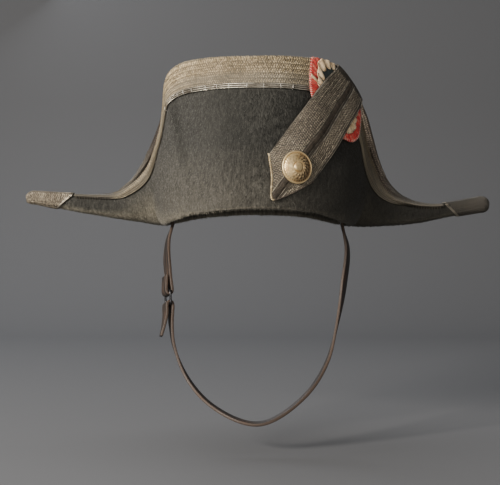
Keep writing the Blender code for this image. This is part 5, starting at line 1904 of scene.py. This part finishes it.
def smooth_route(route, steps):
    """A finer route through the given distances and offsets."""
    route = np.array(route)
    knots = ways_along(route)
    return interpolate(np.column_stack([knots, route]), np.linspace(0, knots[-1], steps))


def make_strap(name, node, path, route, finish):
    """A flat strap with rounded edges along a route of distances and offsets off the path."""
    middle, straight, flat_width, flat_out = path.at(path.middle)
    centres, widths = [], []
    for distance, offset in route:
        place, _, width, out = path.at(distance)
        near = distance - path.middle
        share = min(1, max(0, (STRAP_STRAIGHT + STRAP_BEND - abs(near)) / STRAP_BEND))
        flat = middle + straight * near + flat_out * offset
        centres.append((place + out * offset) * (1 - share) + flat * share)
        widths.append(unit(width * (1 - share) + flat_width * share))
    centres = np.array(centres)
    outline = rounded_corners(STRAP_WIDTH / 2, STRAP_THICK / 2, STRAP_CORNER, (0, 30, 60, 90))
    ways = ways_along(centres)
    points, layer = [], []
    for k, (centre, width) in enumerate(zip(centres, widths, strict=True)):
        run = unit(centres[min(k + 1, len(centres) - 1)] - centres[max(k - 1, 0)])
        width = unit(width - width.dot(run) * run)
        thick = np.cross(width, run)
        for x, y in outline:
            points.append(centre + width * x + thick * y)
            layer.append((ways[k], x, y))
    around = len(outline)
    faces = grid_faces(len(centres), around, closed=True)
    last = len(points) - around
    faces += [tuple(range(around))[::-1], tuple(last + k for k in range(around))]
    mesh = new_mesh(name, points, faces)
    body = bmesh.new()
    body.from_mesh(mesh)
    bmesh.ops.recalc_face_normals(body, faces=body.faces)
    body.to_mesh(mesh)
    body.free()
    set_vectors(mesh, "strap", np.array(layer) / MM)
    new_piece(name, mesh, finish, "dark_leather", node)


def fold(bar, away, ends):
    """Route round a slide's bar: towards it on the inside, round it, and back outside."""
    radius = BUCKLE_BAR / 2 + CLEARANCE + STRAP_THICK / 2
    route = [(bar + away * way, -radius * share) for way, share in APPROACH]
    for angle in np.linspace(0, math.pi, BAR_STEPS):
        route.append((bar - away * radius * math.sin(angle), -radius * math.cos(angle)))
    return route + [(bar + away * way, radius * share) for way, share in ends]


def make_straps(finish):
    """The long and the short part, each folded round a bar of the slide."""
    path = StrapPath()
    half = (BUCKLE_GAP + BUCKLE_BAR) / 2
    upper, lower = path.middle - half, path.middle + half
    first = APPROACH[0][0]
    top = np.linspace(0, upper - first, SHORT_STEPS)[:-1]
    bottom = np.linspace(path.length, lower + first, LONG_STEPS)[:-1]
    folded = [(share * STRAP_FOLD, out) for share, out in FOLDED_END]
    free = [(share * STRAP_TAIL, out) for share, out in FREE_END]
    short = [(way, 0.0) for way in top] + fold(upper, -1, folded)
    long = [(way, 0.0) for way in bottom] + fold(lower, 1, free)
    make_strap("leather_short", "strap_short", path, smooth_route(short, SHORT_RINGS), finish)
    make_strap("leather_long", "strap_long", path, smooth_route(long, LONG_RINGS), finish)
    return path


def make_buckle(path, finish):
    """Dark wire slide that joins the two straps."""
    across = STRAP_WIDTH / 2 + 2 * CLEARANCE + BUCKLE_BAR / 2
    down = (BUCKLE_GAP + BUCKLE_BAR) / 2
    line = rounded_corners(across, down, BUCKLE_BAR, (0, 22, 45, 68, 90))
    curve = bpy.data.curves.new("slide_wire", "CURVE")
    curve.dimensions = "3D"
    curve.bevel_depth = BUCKLE_BAR / 2
    curve.bevel_resolution = 4
    spline = curve.splines.new("POLY")
    spline.points.add(len(line) - 1)
    for point, (x, y) in zip(spline.points, line, strict=True):
        point.co = (x, y, 0, 1)
    spline.use_cyclic_u = True
    holder = bpy.data.objects.new("slide_curve", curve)
    bpy.context.scene.collection.objects.link(holder)
    mesh = evaluated_mesh(holder)
    bpy.data.objects.remove(holder)
    mesh.materials.clear()
    place, run, width, _ = path.at(path.middle)
    turn = Matrix((width, run, np.cross(width, run))).transposed().to_4x4()
    mesh.transform(Matrix.Translation(place) @ turn)
    mesh.shade_smooth()
    new_piece("slide_wire", mesh, finish, "black_iron", "strap_buckle")


def cell_normals(grid):
    """A vector for each cell of a grid, square to it and as long as the cell is large."""
    low = grid[:-1, :-1]
    return np.cross(grid[1:, :-1] - low, grid[:-1, 1:] - low)


def facing(grid, away):
    """1 if a grid's own normals look the given way, -1 if they look back."""
    own = np.sum(unit(cell_normals(grid) + 1e-12) * away[:-1, :-1], axis=2)
    return np.sign(own.mean())


def scatter(grid, count, random):
    """Points spread evenly over a grid, with their normals."""
    normals = cell_normals(grid)
    area = np.linalg.norm(normals, axis=2)
    pick = random.choice(area.size, count, p=(area / area.sum()).ravel())
    row, column = np.unravel_index(pick, area.shape)
    a, b = random.random((2, count, 1))
    place = (
        grid[row, column] * (1 - a) * (1 - b)
        + grid[row + 1, column] * a * (1 - b)
        + grid[row, column + 1] * (1 - a) * b
        + grid[row + 1, column + 1] * a * b
    )
    return place, unit(normals[row, column] + 1e-12)


def make_nap(name, grid, side, count, seed, covers, finish, length=NAP_LENGTH):
    """Short fibres that lie down over the felt, left out where something covers it."""
    random = np.random.default_rng(seed)
    place, normal = scatter(grid, count, random)
    normal = normal * side
    clear = []
    for spot, way in zip(map(Vector, place), map(Vector, normal), strict=True):
        start = spot - way * NAP_COVER[0]
        clear.append(not any(tree.ray_cast(start, way, NAP_COVER[1])[0] for tree in covers))
    place, normal = place[clear], normal[clear]
    count = len(place)
    swirl = sum(np.sin(place[:, 0] * x + place[:, 2] * z + phase) for x, z, phase in NAP_WAVES)
    down = np.array([0, 0, -1.0]) + np.array([1.0, 0, 0]) * (NAP_SWIRL * swirl)[:, None]
    down = down + random.normal(0, NAP_SPREAD, (count, 3))
    down = unit(down - np.sum(down * normal, axis=1, keepdims=True) * normal)
    reach = (length * random.uniform(*NAP_LENGTHS, count))[:, None]
    lift = np.radians(random.uniform(*NAP_LIFTS, count))[:, None]
    root = place - normal * NAP_ROOT
    first, last = (down * np.cos(lift) + normal * np.sin(lift) * k for k in NAP_STEEP)
    bend, tip = root + reach * NAP_BEND * first, root + reach * last
    thick = NAP_RADIUS * random.uniform(*NAP_THICKNESS, count)[:, None]
    side = np.cross(normal, down) * thick
    points = np.stack([root - side, root + side, bend + normal * thick, tip], axis=1)
    base = 4 * np.arange(count)[:, None]
    faces = (base[:, :, None] + np.array([(0, 1, 2), (1, 3, 2), (0, 2, 3)])[None]).reshape(-1, 3)
    parts, values = [(points.reshape(-1, 3), faces)], np.repeat(normal, 4, axis=0)
    new_parts(name, parts, finish, "black_felt", "felt", values)


def make_naps(front, rear, crown_grid, finish):
    """Nap of both sides of each flap and of the crown."""
    names = ["braid_front", "braid_rear", "loop_braid", "rosette_red"]
    names += ["sleeve_" + name for name in SLEEVES]
    graph = bpy.context.evaluated_depsgraph_get()
    covers = [BVHTree.FromObject(bpy.data.objects[name], graph) for name in names]
    inside = NAP_COUNTS["inside"]
    for name, flap in (("front", front), ("rear", rear)):
        side = facing(flap.outer, unit(flap.outer - flap.inner))
        seed, count = NAP_SEEDS[name], NAP_COUNTS[name]
        make_nap("nap_" + name, flap.outer, side, count, seed, covers, finish)
        name = "nap_inside_" + name
        seed += INSIDE_SEED
        make_nap(name, flap.inner, -side, inside, seed, covers, finish, NAP_SHORT)
    side = facing(crown_grid, crown_grid - np.array(CROWN_MIDDLE))
    seed, count = NAP_SEEDS["crown"], NAP_COUNTS["crown"]
    make_nap("nap_crown", crown_grid, side, count, seed, [], finish, NAP_SHORT)


def main():
    """Dresses the hat."""
    make_camera()
    make_studio()
    felt, nap = felt_finish(), nap_finish()
    finishes = {name: braid_finish("braid " + name, *row) for name, row in BRAIDS.items()}
    finishes |= {name: wire_finish("metal " + name, *row) for name, row in WIRES.items()}
    finishes |= {name: ribbon_finish("cloth " + name, *row) for name, row in CLOTHS.items()}
    brim, front, rear = make_brim(felt)
    crown_grid = make_crown(felt)
    make_galloon("braid_front", "galloon_front", front, finishes, "", 5)
    make_galloon("braid_rear", "galloon_rear", rear, finishes, "rear_", 6)
    for number, name in enumerate(SLEEVES):
        make_sleeve(name, front, rear, finishes, 20 + number)
    face = FrontFace(brim, front)
    make_cockade(face, finishes)
    make_loop(face, front, finishes)
    make_button(face, brass_finish())
    make_buckle(make_straps(leather_finish()), iron_finish())
    make_naps(front, rear, crown_grid, nap)


main()
